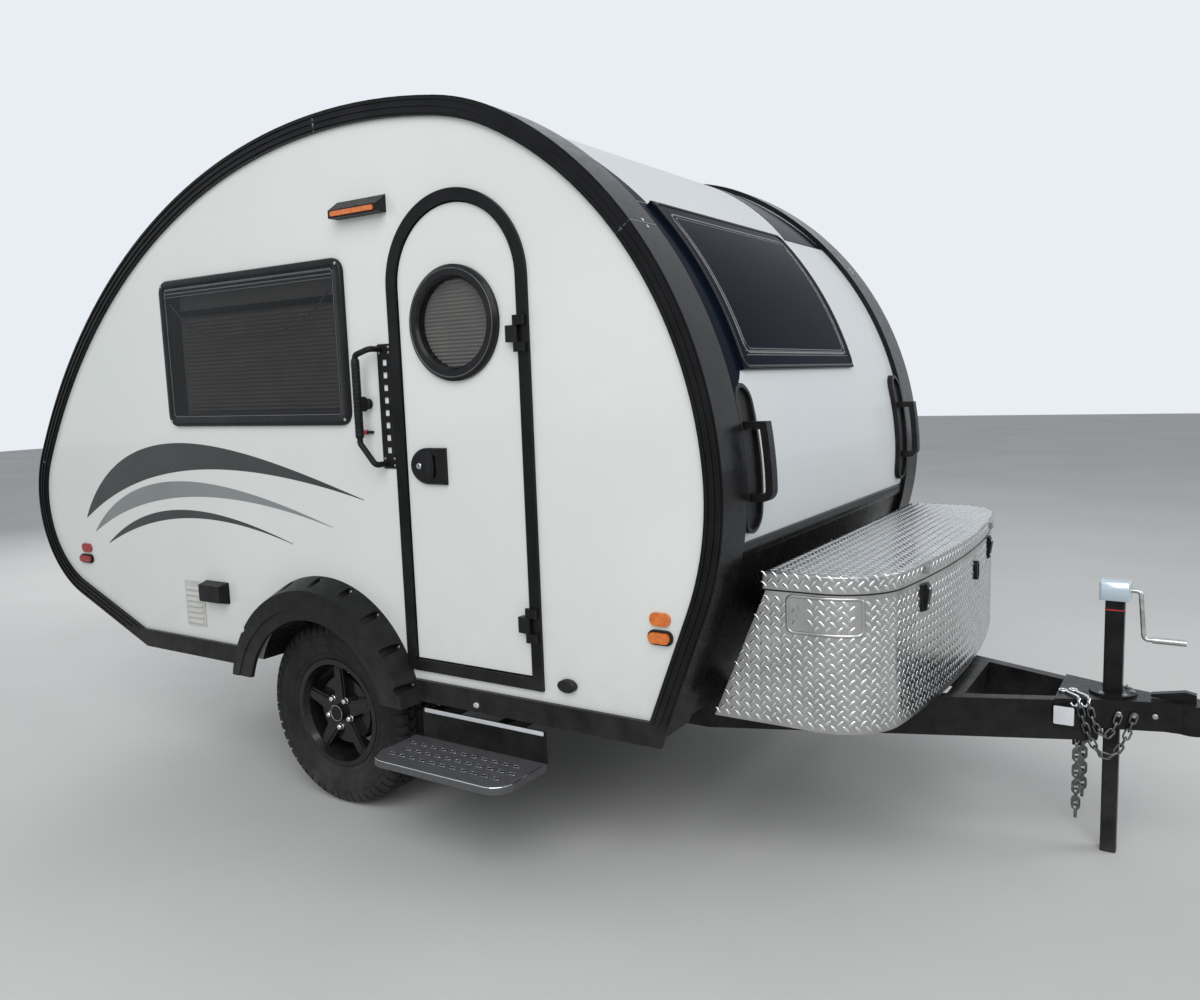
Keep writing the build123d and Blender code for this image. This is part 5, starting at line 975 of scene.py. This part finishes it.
# Side stripes: each has the four (x, z) points of its curve, its greatest width and its finish
stripes = (
    (((-4.02, 1.02), (-3.7, 1.33), (-3.18, 1.4), (-2.25, 1.165)), 0.125, "charcoal_film"),
    (((-3.96, 0.96), (-3.66, 1.19), (-3.15, 1.25), (-2.42, 1.06)), 0.07, "grey_film"),
    (((-3.86, 0.915), (-3.56, 1.08), (-3.18, 1.13), (-2.64, 0.985)), 0.036, "charcoal_film"),
)
stripe_steps = 48


def make_stripes(side, word):
    """Three tapered ribbons behind the window and over the wheel."""
    out = Vector((0, side * 0.0006, 0))
    for number, (corners, wide, finish) in enumerate(stripes, 1):
        points = []
        for t in shared(0, 1, stripe_steps):
            weights = ((1 - t) ** 3, 3 * t * (1 - t) ** 2, 3 * t * t * (1 - t), t ** 3)
            points.append([sum(weight * corner[way] for weight, corner in zip(weights, corners)) for way in (0, 1)])
        spots = upright(points, side * wall_y)
        sections = []
        for here, spot in enumerate(spots):
            (x, z), (next_x, next_z) = points[max(0, here - 1)], points[min(stripe_steps, here + 1)]
            along = Vector((next_x - x, 0, next_z - z)).normalized()
            half = 0.5 * (0.002 + wide * sin(pi * (here / stripe_steps) ** 0.75) ** 1.2)
            high, low = (spot + Vector((-along.z, 0, along.x)) * reach for reach in (half, -half))
            sections.append([low - out, high - out, high + out, low + out])
        piece("stripe_%d_%s" % (number, word), swept(bmesh.new(), sections), finish, smooth=60)


make_tub_plate()
make_tub_pressing()
for side, word in ((-1, "right"), (1, "left")):
    make_tyre(side, word)
    make_wheel_fittings(side, word)
    make_side_window(side, word)
    make_stripes(side, word)
make_flare_bolts()
make_front_skin()
make_front_window_trim()
make_rear_trim()
make_door_trim()
make_grab_fittings()
make_step_trim()
make_trim_joints()
make_jack_fittings()
make_tongue_chain()


# Floor, backdrop and light
def make_stage():
    """Large pale floor under the wheels."""
    bpy.ops.mesh.primitive_plane_add(size=60, location=(-2, 0, -0.001))
    floor = bpy.context.active_object
    floor.name = "floor"
    made, tree, shader = new_material("floor_paint", specular=0.2)
    drift = spread(tree, noise(tree, object_place(tree), 0.6), 0.3, 0.7, 0, 1)
    tree.links.new(mix_colour(tree, drift, (0.66, 0.66, 0.65), (0.6, 0.6, 0.59)), shader.inputs["Base Color"])
    shader.inputs["Roughness"].default_value = 0.8
    floor.data.materials.append(made)


def make_world():
    """Pale surroundings, brighter to the camera than as a light."""
    world = bpy.data.worlds.new("studio")
    bpy.context.scene.world = world
    world.use_nodes = True
    tree = world.node_tree
    background = tree.nodes["Background"]
    background.inputs["Color"].default_value = (0.86, 0.9, 0.95, 1)
    rays = add_node(tree, "LightPath", {}).outputs
    seen = arithmetic(tree, "MAXIMUM", rays["Is Camera Ray"], rays["Is Glossy Ray"])
    seen = arithmetic(tree, "MAXIMUM", seen, rays["Is Transmission Ray"])
    tree.links.new(spread(tree, seen, 0, 1, 0.45, 0.95), background.inputs["Strength"])


def area_light(name, place_at, look_at, size, power):
    """Square soft light."""
    data = bpy.data.lights.new(name, "AREA")
    data.size = size
    data.energy = power
    lamp = bpy.data.objects.new(name, data)
    bpy.context.scene.collection.objects.link(lamp)
    lamp.location = place_at
    lamp.rotation_euler = (Vector(look_at) - Vector(place_at)).to_track_quat("-Z", "Y").to_euler()


make_stage()
make_world()
area_light("key", (1.5, -7, 6.5), (-2.2, 0, 1), 7.5, 500)
area_light("front_fill", (6, 3, 4.5), (-1, 0, 1), 4, 170)
area_light("rear_fill", (-9, 3, 5), (-2.5, 0, 1.2), 4, 210)
